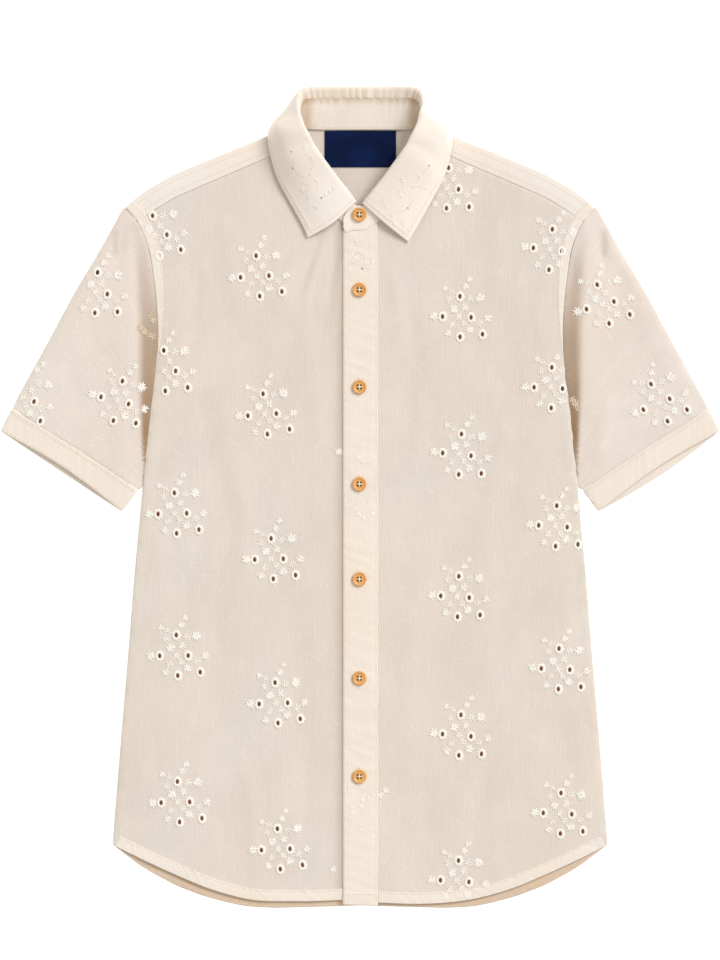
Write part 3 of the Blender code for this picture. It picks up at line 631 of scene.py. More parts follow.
def threads(
    form: Form, lines: np.ndarray, width: np.ndarray | float, height: np.ndarray | float, profile: np.ndarray
) -> None:
    """Adds stitches: each follows its line, with a flat foot and a round back.

    Args:
        form: What they are added to.
        lines: The lines, k by n by 3, on the cloth's face.
        width: The stitches' width, one or k.
        height: How far their backs stand up, one or k.
        profile: The share of width and height at each of the n points.
    """
    count, steps = lines.shape[:2]
    along = np.gradient(lines[..., :2], axis=1)
    aside = np.stack([-along[..., 1], along[..., 0]], axis=-1)
    aside /= np.maximum(np.linalg.norm(aside, axis=-1, keepdims=True), 1e-9)
    half = (np.broadcast_to(width, count)[:, None] * profile / 2)[..., None]
    rise = np.broadcast_to(height, count)[:, None] * profile
    ring = np.empty((count, steps, 4, 3))
    for k, (across, up) in enumerate(((-1.0, -0.25), (-0.55, 0.8), (0.55, 0.8), (1.0, -0.25))):
        ring[:, :, k, :2] = lines[..., :2] - aside * half * across
        ring[:, :, k, 2] = lines[..., 2] + rise * up
    base = (np.arange(count) * steps * 4)[:, None, None]
    index = np.arange(steps * 4).reshape(steps, 4)
    around = np.concatenate([index, index[:, :1]], axis=1)
    quads = (grid_faces(around, flip=True)[None] + base).reshape(-1, 4)
    ends = np.stack([index[0, ::-1], index[-1]])
    caps = (ends[None] + base).reshape(-1, 4)
    form.add(ring.reshape(-1, 3), quads, caps)


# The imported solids
@dataclass
class Solid:
    """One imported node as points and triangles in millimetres, and its upper side."""

    name: str

    def __post_init__(self) -> None:
        """Reads the node's mesh from the frame."""
        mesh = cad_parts[self.name].data
        co = np.empty(len(mesh.vertices) * 3)
        mesh.vertices.foreach_get("co", co)
        mesh.calc_loop_triangles()
        faces = np.empty(len(mesh.loop_triangles) * 3, np.int32)
        mesh.loop_triangles.foreach_get("vertices", faces)
        co = co.reshape(-1, 3) / MM
        _, first, index = np.unique(np.round(co, 3), axis=0, return_index=True, return_inverse=True)
        self.points = co[first]
        faces = index.reshape(-1)[faces.reshape(-1, 3)]
        a, b, c = (self.points[faces[:, k]] for k in range(3))
        normal = np.cross(b - a, c - a)
        up = normal[:, 2] / np.maximum(np.linalg.norm(normal, axis=1), 1e-9)
        self.upper = faces[up > 0.15]
        self.tree = BVHTree.FromPolygons(self.points.tolist(), self.upper.tolist())

    def outline(self) -> np.ndarray:
        """The outer loop of the upper side, in plan."""
        directed = {}
        pairs = np.concatenate([self.upper[:, [0, 1]], self.upper[:, [1, 2]], self.upper[:, [2, 0]]])
        present = {tuple(pair) for pair in pairs.tolist()}
        for a, b in present:
            if (b, a) not in present:
                directed[a] = b
        loops = []
        while directed:
            start, after = directed.popitem()
            loop = [start]
            while after != start:
                loop.append(after)
                after = directed.pop(after)
            loops.append(self.points[loop, :2])
        return max(loops, key=lambda loop: float(np.ptp(loop, axis=0).prod()))

    def top(self, x: float, y: float) -> float:
        """The upper side's height at a place, or NaN beside it."""
        hit = self.tree.ray_cast(Vector((x, y, ABOVE)), Vector((0, 0, -1)))[0]
        return math.nan if hit is None else hit.z


@dataclass
class HeightField:
    """The soft upper surface of a solid, on a square raster over its plan."""

    solid: Solid
    pitch: float = 2.5
    soften: float = 8.0
    edge: float = 14.0

    def __post_init__(self) -> None:
        """Reads the heights, fills what lies beside the solid, and softens the facets away from its edge."""
        outline = self.solid.outline()
        margin = 8 * self.pitch
        self.low = outline.min(axis=0) - margin
        size = np.ceil((outline.max(axis=0) + margin - self.low) / self.pitch).astype(int) + 1
        xs = self.low[0] + np.arange(size[0]) * self.pitch
        ys = self.low[1] + np.arange(size[1]) * self.pitch
        raw = np.array([[self.solid.top(x, y) for y in ys] for x in xs])
        raw = self.filled(raw)
        smooth = self.softened(raw, self.soften / self.pitch)
        places = np.stack(np.meshgrid(xs, ys, indexing="ij"), axis=-1).reshape(-1, 2)
        gap = np.where(inside(places, outline), distance(places, closed(outline)), 0.0).reshape(raw.shape)
        inner = soft(2.0, self.edge, gap)
        self.values = raw * (1 - inner) + smooth * inner

    @staticmethod
    def filled(values: np.ndarray) -> np.ndarray:
        """The raster with each unknown height taken from its neighbours, ring by ring."""
        values = values.copy()
        while np.isnan(values).any():
            around = np.pad(values, 1, constant_values=np.nan)
            shifted = [around[1:-1, :-2], around[1:-1, 2:], around[:-2, 1:-1], around[2:, 1:-1]]
            known = np.sum([~np.isnan(s) for s in shifted], axis=0)
            total = np.sum([np.nan_to_num(s) for s in shifted], axis=0)
            fill = np.isnan(values) & (known > 0)
            values[fill] = (total / np.maximum(known, 1))[fill]
        return values

    @staticmethod
    def softened(values: np.ndarray, radius: float) -> np.ndarray:
        """The raster under a Gaussian of the given radius, in cells."""
        reach = int(math.ceil(radius * 2.2))
        weights = np.exp(-0.5 * (np.arange(-reach, reach + 1) / radius) ** 2)
        weights /= weights.sum()
        for axis in (0, 1):
            widths = [(0, 0), (0, 0)]
            widths[axis] = (reach, reach)
            padded = np.pad(values, widths, mode="edge")
            count = values.shape[axis]
            slices = [np.take(padded, np.arange(k, k + count), axis=axis) for k in range(len(weights))]
            values = sum(w * s for w, s in zip(weights, slices))
        return values

    def at(self, x: np.ndarray, y: np.ndarray) -> np.ndarray:
        """The height at places in plan."""
        u = np.clip((x - self.low[0]) / self.pitch, 0, self.values.shape[0] - 1.001)
        v = np.clip((y - self.low[1]) / self.pitch, 0, self.values.shape[1] - 1.001)
        i, j = u.astype(int), v.astype(int)
        s, t = u - i, v - j
        near = self.values[i, j] * (1 - t) + self.values[i, j + 1] * t
        far = self.values[i + 1, j] * (1 - t) + self.values[i + 1, j + 1] * t
        return near * (1 - s) + far * s


@dataclass(frozen=True)
class Crease:
    """A soft trough or ridge in laid cloth.

    x and y are where it starts, heading is its way in degrees from +X, and bow bends it sideways at its middle.
    """

    x: float
    y: float
    heading: float
    length: float
    width: float
    rise: float
    bow: float = 0.0

    def height(self, x: np.ndarray, y: np.ndarray) -> np.ndarray:
        """What the crease adds at places in plan."""
        turn = math.radians(self.heading)
        along = (x - self.x) * math.cos(turn) + (y - self.y) * math.sin(turn)
        aside = (y - self.y) * math.cos(turn) - (x - self.x) * math.sin(turn)
        share = np.clip(along / self.length, 0, 1)
        aside = aside - self.bow * np.sin(math.pi * share)
        return self.rise * np.sin(math.pi * share) ** 0.7 * bell(aside, self.width)


def rippled(run: np.ndarray, seed: float, length: float) -> np.ndarray:
    """Uneven ripples along a seam, from -1 to 1, about length apart."""
    turn = math.tau * run / length
    slow = np.sin(0.23 * turn + 1.7 * seed) * 1.6
    swell = 0.62 + 0.38 * np.sin(0.137 * turn + 2.9 * seed)
    return swell * (0.68 * np.sin(turn + slow + seed) + 0.32 * np.sin(1.73 * turn - 1.3 * slow + 2.1 * seed))


def triangulated(
    outer: np.ndarray, holes: Sequence[np.ndarray], pitch: float
) -> tuple[np.ndarray, np.ndarray, list[np.ndarray]]:
    """Fills an outline with even triangles, round its holes.

    Args:
        outer: The outline.
        holes: The holes' loops.
        pitch: The spacing of the points inside.

    Returns:
        The points, the triangles, and each loop's point numbers, the outline's first.
    """
    low, high = outer.min(axis=0), outer.max(axis=0)
    row_step = pitch * math.sqrt(3) / 2
    rows = []
    for k, y in enumerate(np.arange(low[1] + row_step / 2, high[1], row_step)):
        xs = np.arange(low[0] + (k % 2) * pitch / 2, high[0], pitch)
        rows.append(np.stack([xs, np.full(len(xs), y)], axis=1))
    fill = np.concatenate(rows)
    fill = fill[inside(fill, outer)]
    fill = fill[distance(fill, closed(outer)) > pitch * 0.55]
    for hole in holes:
        centre = hole.mean(axis=0)
        reach = np.linalg.norm(hole - centre, axis=1).max() + 0.6
        fill = fill[np.linalg.norm(fill - centre, axis=1) > reach]
    loops, count = [], 0
    for loop in (outer, *holes):
        loops.append(count + np.arange(len(loop)))
        count += len(loop)
    points = np.concatenate([outer, *holes, fill])
    edges = [(int(a), int(b)) for loop in loops for a, b in zip(loop, np.roll(loop, -1))]
    inner_only = 1
    placed, _, faces, *_ = delaunay_2d_cdt(
        [Vector(p) for p in points], edges, [loops[0].tolist()], inner_only, 1e-4, False
    )
    plan = np.array([tuple(p) for p in placed])
    triangles = np.array(faces)
    middle = plan[triangles].mean(axis=1)
    keep = np.ones(len(triangles), bool)
    doubtful = np.flatnonzero((triangles < len(outer)).all(axis=1))
    keep[doubtful] = inside(middle[doubtful], outer)
    for hole in holes:
        near = np.linalg.norm(middle - hole.mean(axis=0), axis=1) < 12
        keep[np.flatnonzero(near)[inside(middle[near], hole)]] = False
    return plan, triangles[keep], loops


def lay(
    form: Form,
    outer: np.ndarray,
    height: Height,
    thickness: float,
    pitch: float,
    holes: Sequence[np.ndarray] = (),
    turned: Callable[[np.ndarray], np.ndarray] | None = None,
    floor: float = 0.05,
    tone: Callable[[np.ndarray], np.ndarray] | None = None,
) -> None:
    """Adds a thin sheet of cloth laid at a height over its plan.

    Args:
        form: What it is added to.
        outer: Its outline, counter-clockwise.
        height: The height of its face.
        thickness: Its thickness.
        pitch: The spacing of its points.
        holes: The loops cut out of it.
        turned: How far the edge bulges out as it turns down to the floor, at points of the outline.
        floor: The height that a turned edge reaches down to.
        tone: The tone at the points of its face. Its under side has the plain tone.
    """
    plan, triangles, loops = triangulated(outer, holes, pitch)
    z = height(plan[:, 0], plan[:, 1])
    count = len(plan)
    upper = np.column_stack([plan, z])
    lower = np.column_stack([plan, z - thickness])
    tones = tone(plan) if tone else np.zeros(count)
    form_points, form_tones = [upper, lower], [tones, np.zeros(count)]
    quads = []
    total = 2 * count
    for number, loop in enumerate(loops):
        ring = plan[loop]
        along = np.roll(ring, -1, axis=0) - np.roll(ring, 1, axis=0)
        out = np.stack([along[:, 1], -along[:, 0]], axis=1) / np.linalg.norm(along, axis=1, keepdims=True)
        bulge = turned(ring) if turned and number == 0 else np.full(len(ring), 0.12)
        down = z[loop] - thickness + (floor - z[loop] + thickness) * soft(0.3, 0.9, bulge)
        rows = [loop]
        for angle in (30, 60, 90, 120, 150):
            share = (1 - math.cos(math.radians(angle))) / 2
            place = ring + out * (bulge * math.sin(math.radians(angle)))[:, None]
            form_points.append(np.column_stack([place, z[loop] * (1 - share) + down * share]))
            form_tones.append(tones[loop])
            rows.append(total + np.arange(len(loop)))
            total += len(loop)
        rows.append(count + loop)
        index = np.array(rows)
        index = np.concatenate([index, index[:, :1]], axis=1)
        quads.append(grid_faces(index))
    form.add(
        np.concatenate(form_points),
        triangles,
        triangles[:, ::-1] + count,
        *quads,
        tone=np.concatenate(form_tones),
    )


# What the pieces share
@dataclass(frozen=True)
class Plan:
    """The shirt's main lines in plan, given outwards from the centre front in the garment's own height."""

    side: tuple[tuple[float, float], ...] = (
        (222.5, 277.0), (211.5, 250.0), (205.7, 215.0), (202.6, 181.0), (202.6, 150.0), (207.5, 100.0),
        (213.0, 52.0), (217.5, 0.0), (224.5, -74.0), (230.5, -150.0), (238.5, -245.0), (246.6, -346.0),
    )
    hem: tuple[tuple[float, float], ...] = (
        (17.5, -403.1), (58.0, -404.5), (90.0, -402.8), (119.0, -398.4), (151.7, -389.0), (187.3, -374.2),
        (216.0, -361.0), (246.6, -346.0),
    )
    back_hem: tuple[tuple[float, float], ...] = (
        (0.0, -406.3), (50.0, -407.8), (90.0, -408.5), (119.0, -406.2), (151.7, -398.2), (187.3, -384.6),
        (216.0, -368.8), (246.6, -346.0),
    )
    band_seam: tuple[tuple[float, float], ...] = (
        (347.4, 90.0), (312.0, 67.8), (280.0, 48.0), (253.0, 30.3), (234.0, 17.2), (222.6, 9.6),
    )
    yoke_fold: tuple[tuple[float, float], ...] = (
        (66.0, 372.5), (91.9, 363.6), (134.4, 346.4), (180.3, 327.6), (196.0, 319.4), (211.3, 310.6),
        (224.5, 301.2), (235.0, 292.0),
    )
    yoke_seam: tuple[tuple[float, float], ...] = (
        (64.0, 354.6), (90.8, 342.2), (128.0, 326.0), (170.0, 308.0), (186.0, 300.6), (199.5, 292.6),
        (212.0, 284.6), (222.5, 277.0),
    )

    @staticmethod
    def points(rows: Sequence[tuple[float, float]], side: Side) -> np.ndarray:
        """Places of the plan on one side, in the shirt's frame."""
        return np.array(rows) * (side.value, 1) + (0, ORIGIN_Y)

    @staticmethod
    def line(rows: Sequence[tuple[float, float]], side: Side, step: float = 2.0) -> np.ndarray:
        """A smooth line of the plan on one side, in the shirt's frame."""
        return evenly(spline(Plan.points(rows, side), 12), step)


PLAN = Plan()
CLOTH = 0.55
ARMPIT_Y = 150.0 + ORIGIN_Y


def level(height: float) -> Height:
    """A flat face at a height."""
    return lambda x, y: np.full(len(x), height)


def covered(outer: np.ndarray, plan: np.ndarray) -> np.ndarray:
    """The tone of a layer that others cover: plain at its edge, and inside it the painted brown shade and glow.
    """
    return 2.0 * soft(3.0, 12.0, distance(plan, closed(outer)))


# Stitching and embroidery
PETAL = np.array([0.45, 0.95, 1.0, 0.72, 0.16])
STITCH = np.array([0.25, 1.0, 1.0, 0.25])


def draped(plan: np.ndarray, height: Height, lift: float = 0.0) -> np.ndarray:
    """Points in plan laid on a face: the height is read at each, and lift is added."""
    flat = plan.reshape(-1, 2)
    z = height(flat[:, 0], flat[:, 1]) + lift
    return np.column_stack([flat, z]).reshape(*plan.shape[:-1], 3)


def sew(
    form: Form, line: np.ndarray, length: float = 2.6, gap: float = 0.8, width: float = 0.5, rise: float = 0.24
) -> None:
    """Adds a row of stitches along a line.

    Args:
        form: What they are added to.
        line: The row's points on the cloth's face, n by 3.
        length: Each stitch's length.
        gap: The space between two stitches.
        width: Their width.
        rise: How far they stand up.
    """
    total = run_of(line)[-1]
    starts = np.arange(gap, total - length, length + gap)
    if len(starts) == 0:
        return
    stations = starts[:, None] + np.linspace(0, length, 4)
    rows = at_stations(line, stations.ravel()).reshape(len(starts), 4, 3)
    threads(form, rows, width, rise, STITCH)


def offset(line: np.ndarray, reach: float) -> np.ndarray:
    """A line in plan moved to its left by reach."""
    return line[:, :2] + left_of(line) * reach


@dataclass(frozen=True)
class Bloom:
    """A stitched star: its place from the sprig's top eyelet, its reach, petals and their width."""

    x: float
    y: float
    reach: float
    petals: int
    width: float = 1.35
    lean: float = 0.0


BLOOMS = (
    Bloom(9.0, 17.0, 3.4, 7, 1.0, 10), Bloom(4.9, 9.8, 3.8, 8, 1.1, 25), Bloom(-15.2, 7.4, 3.4, 7, 0.95, 0),
    Bloom(-9.1, 4.7, 3.4, 5, 0.6, 15), Bloom(-11.0, -4.0, 4.0, 6, 0.7, 30),
    Bloom(-6.0, -13.0, 4.7, 9, 1.5, 0), Bloom(10.3, -2.0, 4.4, 6, 0.75, 12),
    Bloom(20.0, -1.2, 5.2, 9, 1.75, 8), Bloom(5.3, -11.0, 4.3, 7, 1.0, 20),
    Bloom(-0.8, -20.6, 3.7, 6, 1.0, 0), Bloom(-26.0, -20.4, 4.9, 8, 1.6, 14),
    Bloom(-7.6, -29.0, 3.9, 6, 0.7, 22), Bloom(-11.4, -37.4, 4.1, 7, 1.15, 5),
    Bloom(4.4, -27.2, 4.0, 6, 0.75, 40), Bloom(10.5, -33.6, 4.7, 8, 1.5, 10),
    Bloom(19.8, -26.2, 4.4, 6, 0.7, 35), Bloom(28.2, -21.8, 4.6, 8, 1.2, 18),
)
EYELETS = ((0.0, 0.0), (-17.0, -20.5), (11.5, -20.8), (0.8, -40.5), (23.2, -37.5))
STEMS = (
    ((1.5, 3.0), (4.9, 9.8), (9.0, 17.0)),
    ((-3.0, 1.5), (-9.1, 4.7), (-15.2, 7.4)),
    ((-9.1, 4.7), (-11.0, -4.0), (-6.0, -13.0)),
    ((4.0, -0.5), (10.3, -2.0), (20.0, -1.2)),
    ((10.3, -2.0), (5.3, -11.0), (-0.8, -20.6)),
    ((2.2, -4.5), (5.3, -11.0), (9.3, -17.0)),
    ((-0.8, -20.6), (-7.6, -29.0), (-11.4, -37.4)),
    ((-0.8, -20.6), (4.4, -27.2), (10.5, -33.6)),
    ((4.4, -27.2), (2.0, -33.5), (1.0, -36.5)),
    ((14.0, -23.5), (19.8, -26.2), (28.2, -21.8)),
    ((19.8, -26.2), (22.4, -31.5), (23.2, -34.0)),
    ((-26.0, -20.4), (-21.0, -21.6), (-20.0, -21.0)),
    ((-13.5, -18.0), (-9.5, -15.6), (-6.0, -13.0)),
)


@dataclass(frozen=True)
class Sprig:
    """One embroidered sprig: its top eyelet's place, its turn in degrees, and how it is stitched."""

    x: float
    y: float
    turn: float = 0.0
    size: float = 1.0
    rise: float = 1.0

    def place(self, marks: Sequence[Sequence[float]] | np.ndarray) -> np.ndarray:
        """Marks of the chart as places on the cloth."""
        marks = np.asarray(marks, float) * self.size
        return rotated(marks[..., 0], marks[..., 1], self.turn) + (self.x, self.y + ORIGIN_Y)


def oval(centre: np.ndarray, width: float, height: float, sides: int, turn: float = 0.0) -> np.ndarray:
    """A clockwise oval loop, a little egg-shaped."""
    angle = -math.tau * np.arange(sides) / sides
    x = width / 2 * np.cos(angle) * (1 - 0.08 * np.sin(angle))
    y = height / 2 * np.sin(angle)
    return centre + rotated(x, y, turn)


@dataclass
class Embroiderer:
    """Stitches sprigs onto one face of cloth, and keeps the eyelets to cut in it."""

    outline: np.ndarray
    sprigs: Sequence[Sprig]
    seed: int = 1
    loose: Sequence[tuple[float, float, int]] = ()
    margin: float = 1.2
    hole: tuple[float, float] = (3.2, 4.7)
    rise: float = 0.9

    def __post_init__(self) -> None:
        """Starts the small chances of hand work."""
        self.chance = np.random.default_rng(self.seed)
        self.border = closed(self.outline)

    def clear(self, places: np.ndarray, reach: float) -> np.ndarray:
        """Whether each place lies inside the cloth, at least reach from its edge."""
        return inside(places, self.outline) & (distance(places, self.border) > reach)

    def eyelets(self) -> list[tuple[np.ndarray, float]]:
        """The centre and turn of each eyelet that lies clear of the edge."""
        found = []
        for sprig in self.sprigs:
            places = sprig.place(EYELETS)
            for place, keep in zip(places, self.clear(places, 3.4)):
                if keep:
                    found.append((place, sprig.turn))
        return found

    def holes(self) -> list[np.ndarray]:
        """The loops that the eyelets cut in the cloth."""
        width, height = self.hole[0] + 0.5, self.hole[1] + 0.5
        return [oval(place, width, height, 16, turn) for place, turn in self.eyelets()]

    def ring(self, form: Form, centre: np.ndarray, turn: float, height: Height) -> None:
        """Adds one eyelet's ring: satin stitches all round, with points that grow towards its foot."""
        sides = 40
        angle = math.tau * np.arange(sides) / sides
        low = 0.5 - 0.5 * np.sin(angle)
        points = np.abs(np.cos(angle * 4.5 + self.chance.uniform(0, 0.6))) ** 1.6
        outer_x = 4.0 + 0.5 * points + 0.8 * low * points + self.chance.uniform(-0.12, 0.12, sides)
        outer_y = 4.9 + 0.5 * points + 1.2 * low * points + self.chance.uniform(-0.12, 0.12, sides)
        stitch = 1 + 0.13 * np.cos(angle * sides / 2)
        inner = np.array(self.hole) / 2
        section = ((0.0, -0.3), (0.02, 0.55), (0.2, 0.95), (0.5, 1.0), (0.8, 0.72), (1.0, 0.15), (0.96, -0.3))
        rows = []
        for share, up in section:
            x = np.cos(angle) * (inner[0] + (outer_x - inner[0]) * share)
            y = np.sin(angle) * (inner[1] + (outer_y - inner[1]) * share)
            place = centre + rotated(x, y, turn)
            lift = up * self.rise * (stitch if up > 0.3 else 1.0)
            z = height(place[:, 0], place[:, 1]) * 0.35 + float(height(centre[:1], centre[1:])[0]) * 0.65
            rows.append(np.column_stack([place, z + lift]))
        rows.append(rows[0])
        surface = np.array(rows)
        count = len(section)
        index = np.arange(count * sides).reshape(count, sides)
        index = np.concatenate([index, index[:1]])
        index = np.concatenate([index, index[:, :1]], axis=1)
        form.add(surface[:-1].reshape(-1, 3), grid_faces(index))

    def star(self, form: Form, bloom: Bloom, sprig: Sprig, centre: np.ndarray, height: Height) -> None:
        """Adds one star: spiky petals from its heart, uneven as hand-guided stitching is."""
        angle = np.arange(bloom.petals) / bloom.petals * math.tau + math.radians(bloom.lean + sprig.turn)
        angle += self.chance.uniform(-0.14, 0.14, bloom.petals)
        reach = 1.1 * bloom.reach * sprig.size * self.chance.uniform(0.84, 1.1, bloom.petals)
        shares = np.linspace(0.04, 1.0, 5)
        bow = self.chance.uniform(-0.35, 0.35, bloom.petals)[:, None] * np.sin(shares * math.pi)
        out = rays(angle, reach[:, None] * shares)
        side = np.stack([-np.sin(angle), np.cos(angle)], axis=1)[:, None] * bow[..., None]
        lines = draped(centre + out + side, height)
        width = (0.6 + bloom.width) * sprig.size * self.chance.uniform(0.85, 1.15, bloom.petals)
        threads(form, lines + (0, 0, 0.15), width, 0.6 * sprig.rise * (0.7 + 0.3 * bloom.width), PETAL)
        if bloom.width > 0.9:
            turn = self.chance.uniform(0, math.pi, 3)
            reach = bloom.width * 0.75
            knot = rays(turn, np.linspace(-1, 1, 5)[None] * reach)
            threads(form, draped(centre + knot, height, 0.3 * sprig.rise), 1.2, 0.5 * sprig.rise, SPINDLE)

    def stem(self, form: Form, sprig: Sprig, marks: Sequence[Sequence[float]], height: Height) -> None:
        """Adds one stem: small stitches along a bent line."""
        line = spline(sprig.place(marks), 8)
        keep = self.clear(line, self.margin)
        if keep.sum() > 3:
            line = line[keep]
            sew(form, draped(line, height, 0.05), 2.1 * sprig.size, 0.2, 0.95, 0.42 * sprig.rise)

    def stitch(self, form: Form, height: Height) -> None:
        """Adds all the sprigs' stitches.

        Args:
            form: What they are added to.
            height: The height of the cloth's face.
        """
        for sprig in self.sprigs:
            for marks in STEMS:
                self.stem(form, sprig, marks, height)
            places = sprig.place([(bloom.x, bloom.y) for bloom in BLOOMS])
            for bloom, centre, keep in zip(BLOOMS, places, self.clear(places, 2.0)):
                if keep:
                    self.star(form, bloom, sprig, centre, height)
        for x, y, kind in self.loose:
            sprig = Sprig(x, y, 24.0 * kind, 1.1, 0.9)
            self.star(form, BLOOMS[kind], sprig, np.array([x, y + ORIGIN_Y]), height)
        for centre, turn in self.eyelets():
            self.ring(form, centre, turn, height)


@dataclass
class Traces:
    """Small stars, vines and pinholes in the cloth's own colour, which show as low relief on the doubled pieces.

    Each mark gives its place on the photo's side, x and y in the garment's own height, and a size.
    """

    surface: np.ndarray
    stars: Sequence[tuple[float, float, float]]
    pinholes: Sequence[tuple[float, float]]
    vines: Sequence[Sequence[tuple[float, float]]]
    seed: int = 5

    def __post_init__(self) -> None:
        """Readies the face for height readings."""
        rows, columns = self.surface.shape[:2]
        quads = grid_faces(np.arange(rows * columns).reshape(rows, columns))
        self.tree = BVHTree.FromPolygons(self.surface.reshape(-1, 3).tolist(), quads.tolist())
        self.chance = np.random.default_rng(self.seed)

    def height(self, x: np.ndarray, y: np.ndarray) -> np.ndarray:
        """The face's height at places in plan."""
        hits = [self.tree.ray_cast(Vector((a, b, ABOVE)), Vector((0, 0, -1)))[0] for a, b in zip(x, y)]
        return np.array([0.0 if hit is None else hit.z for hit in hits])

    def build(self, name: str, finishes: Finishes) -> list[bpy.types.Object]:
        """Makes the marks, and the dark cores painted into the pinholes as their shade."""
        form, cores = Form(), Form()
        for x, y, size in self.stars:
            centre = np.array([x, y + ORIGIN_Y])
            petals = int(self.chance.integers(4, 8))
            angle = np.arange(petals) / petals * math.tau + self.chance.uniform(0, math.tau)
            reach = 1.2 * size * self.chance.uniform(0.6, 1.1, petals)
            out = rays(angle, reach[:, None] * np.linspace(0.1, 1, 5))
            threads(form, draped(centre + out, self.height, 0.06), 1.35, 0.34, PETAL)
        for x, y in self.pinholes:
            centre = np.array([x, y + ORIGIN_Y])
            for form_of, reach, width in ((form, 1.15, 0.9), (cores, 0.3, 0.9)):
                turn = np.arange(9) / 8 * math.tau
                ring = centre + np.column_stack([np.cos(turn), 1.15 * np.sin(turn)]) * reach
                threads(form_of, draped(ring, self.height, 0.03)[None], width, 0.26, np.ones(9))
        vines = Form()
        for marks in self.vines:
            line = spline(np.array(marks) + (0, ORIGIN_Y), 8)
            sew(vines, draped(line, self.height, 0.02), 2.2, 0.15, 0.8, 0.22)
        made = [
            form.build(f"traces_{name}", finishes.floss, "double_cloth"),
            vines.build(f"vines_{name}", finishes.vine, "double_cloth"),
        ]
        if self.pinholes:
            made.append(cores.build(f"pinholes_{name}", finishes.core, "double_cloth"))
        return made


@dataclass
class Strip:
    """A narrow folded strip laid along a line on a face, as a hem or a seam's binding."""

    line: np.ndarray
    width: float
    height: Height
    seed: float
    lift: float = 0.3
    wall: float = 0.7
    wave: float = 8.0
    depth: float = 0.22
    slant: float = 0.6
    taper: Sequence[float] = (1.0, 1.0)

    def surface(self) -> np.ndarray:
        """The strip's face: rows across its width, columns along its line."""
        run = run_of(self.line)
        stations = edged_stations(run[-1], 1.9, 0.8)
        line = at_stations(self.line, stations)
        aside = left_of(line)
        widths = self.width * np.interp(stations, np.linspace(0, run[-1], len(self.taper)), self.taper)
        rows = []
        shares = edged_stations(1.0, 0.14, 0.6 / self.width)
        for share in shares:
            plan = line + aside * (widths * share)[:, None]
            z = self.height(plan[:, 0], plan[:, 1]) + self.lift
            ripple = rippled(stations + self.slant * share * self.width, self.seed, self.wave)
            fade = 0.45 + 0.55 * abs(math.cos(math.pi * share))
            rows.append(np.column_stack([plan, z + self.depth * ripple * fade]))
        return np.array(rows)

    def add(self, form: Form) -> np.ndarray:
        """Adds the strip and gives its face."""
        surface = self.surface()
        pillow(form, surface[::-1] - (0, 0, self.wall / 2), self.wall, 0.7)
        return surface


# Sprigs of each piece, as the top eyelet's place in the garment's own height, and the turn
SPRIGS = {
    "front_right": (
        (-104.3, 243.0, 4), (-97.3, 105.0, 5), (-89.3, -39.5, 2), (-85.3, -183.5, 3), (-83.0, -329.5, 3),
        (-207.7, 283.0, 8), (-196.5, 148.4, 1), (-185.9, 6.0, 2), (-184.0, -136.0, 1), (-182.9, -282.4, 2),
    ),
    "front_left": (
        (88.0, 330.9, -4), (99.4, 202.4, -1), (100.9, 64.8, -5), (98.3, -77.3, -3), (100.4, -215.8, -4),
        (98.0, -361.4, -3), (191.8, 269.4, -6), (191.2, 131.4, -2), (196.2, -6.8, -3), (198.4, -149.5, -2),
        (200.4, -293.9, -2),
    ),
    "sleeve_right": ((-262.6, 226.3, -5), (-331.1, 120.5, -17), (-237.8, 117.7, -14)),
    "sleeve_left": ((236.5, 214.0, 16), (290.3, 114.7, 23)),
}


def sprigs_of(name: str) -> list[Sprig]:
    """The sprigs of a piece."""
    return [Sprig(*row) for row in SPRIGS[name]]


# Body
@dataclass
class Cloth:
    """One laid layer: its solid's form, made soft, with creases and seam puckers on top."""

    solid: Solid
    creases: Sequence[Crease] = ()
    puckers: Height | None = None

    def __post_init__(self) -> None:
        """Reads the solid's outline and heights."""
        self.outline = self.solid.outline()
        self.field = HeightField(self.solid)

    def height(self, x: np.ndarray, y: np.ndarray) -> np.ndarray:
        """The face's height at places in plan."""
        z = self.field.at(x, y)
        for crease in self.creases:
            z = z + crease.height(x, y)
        return z if self.puckers is None else z + self.puckers(x, y)


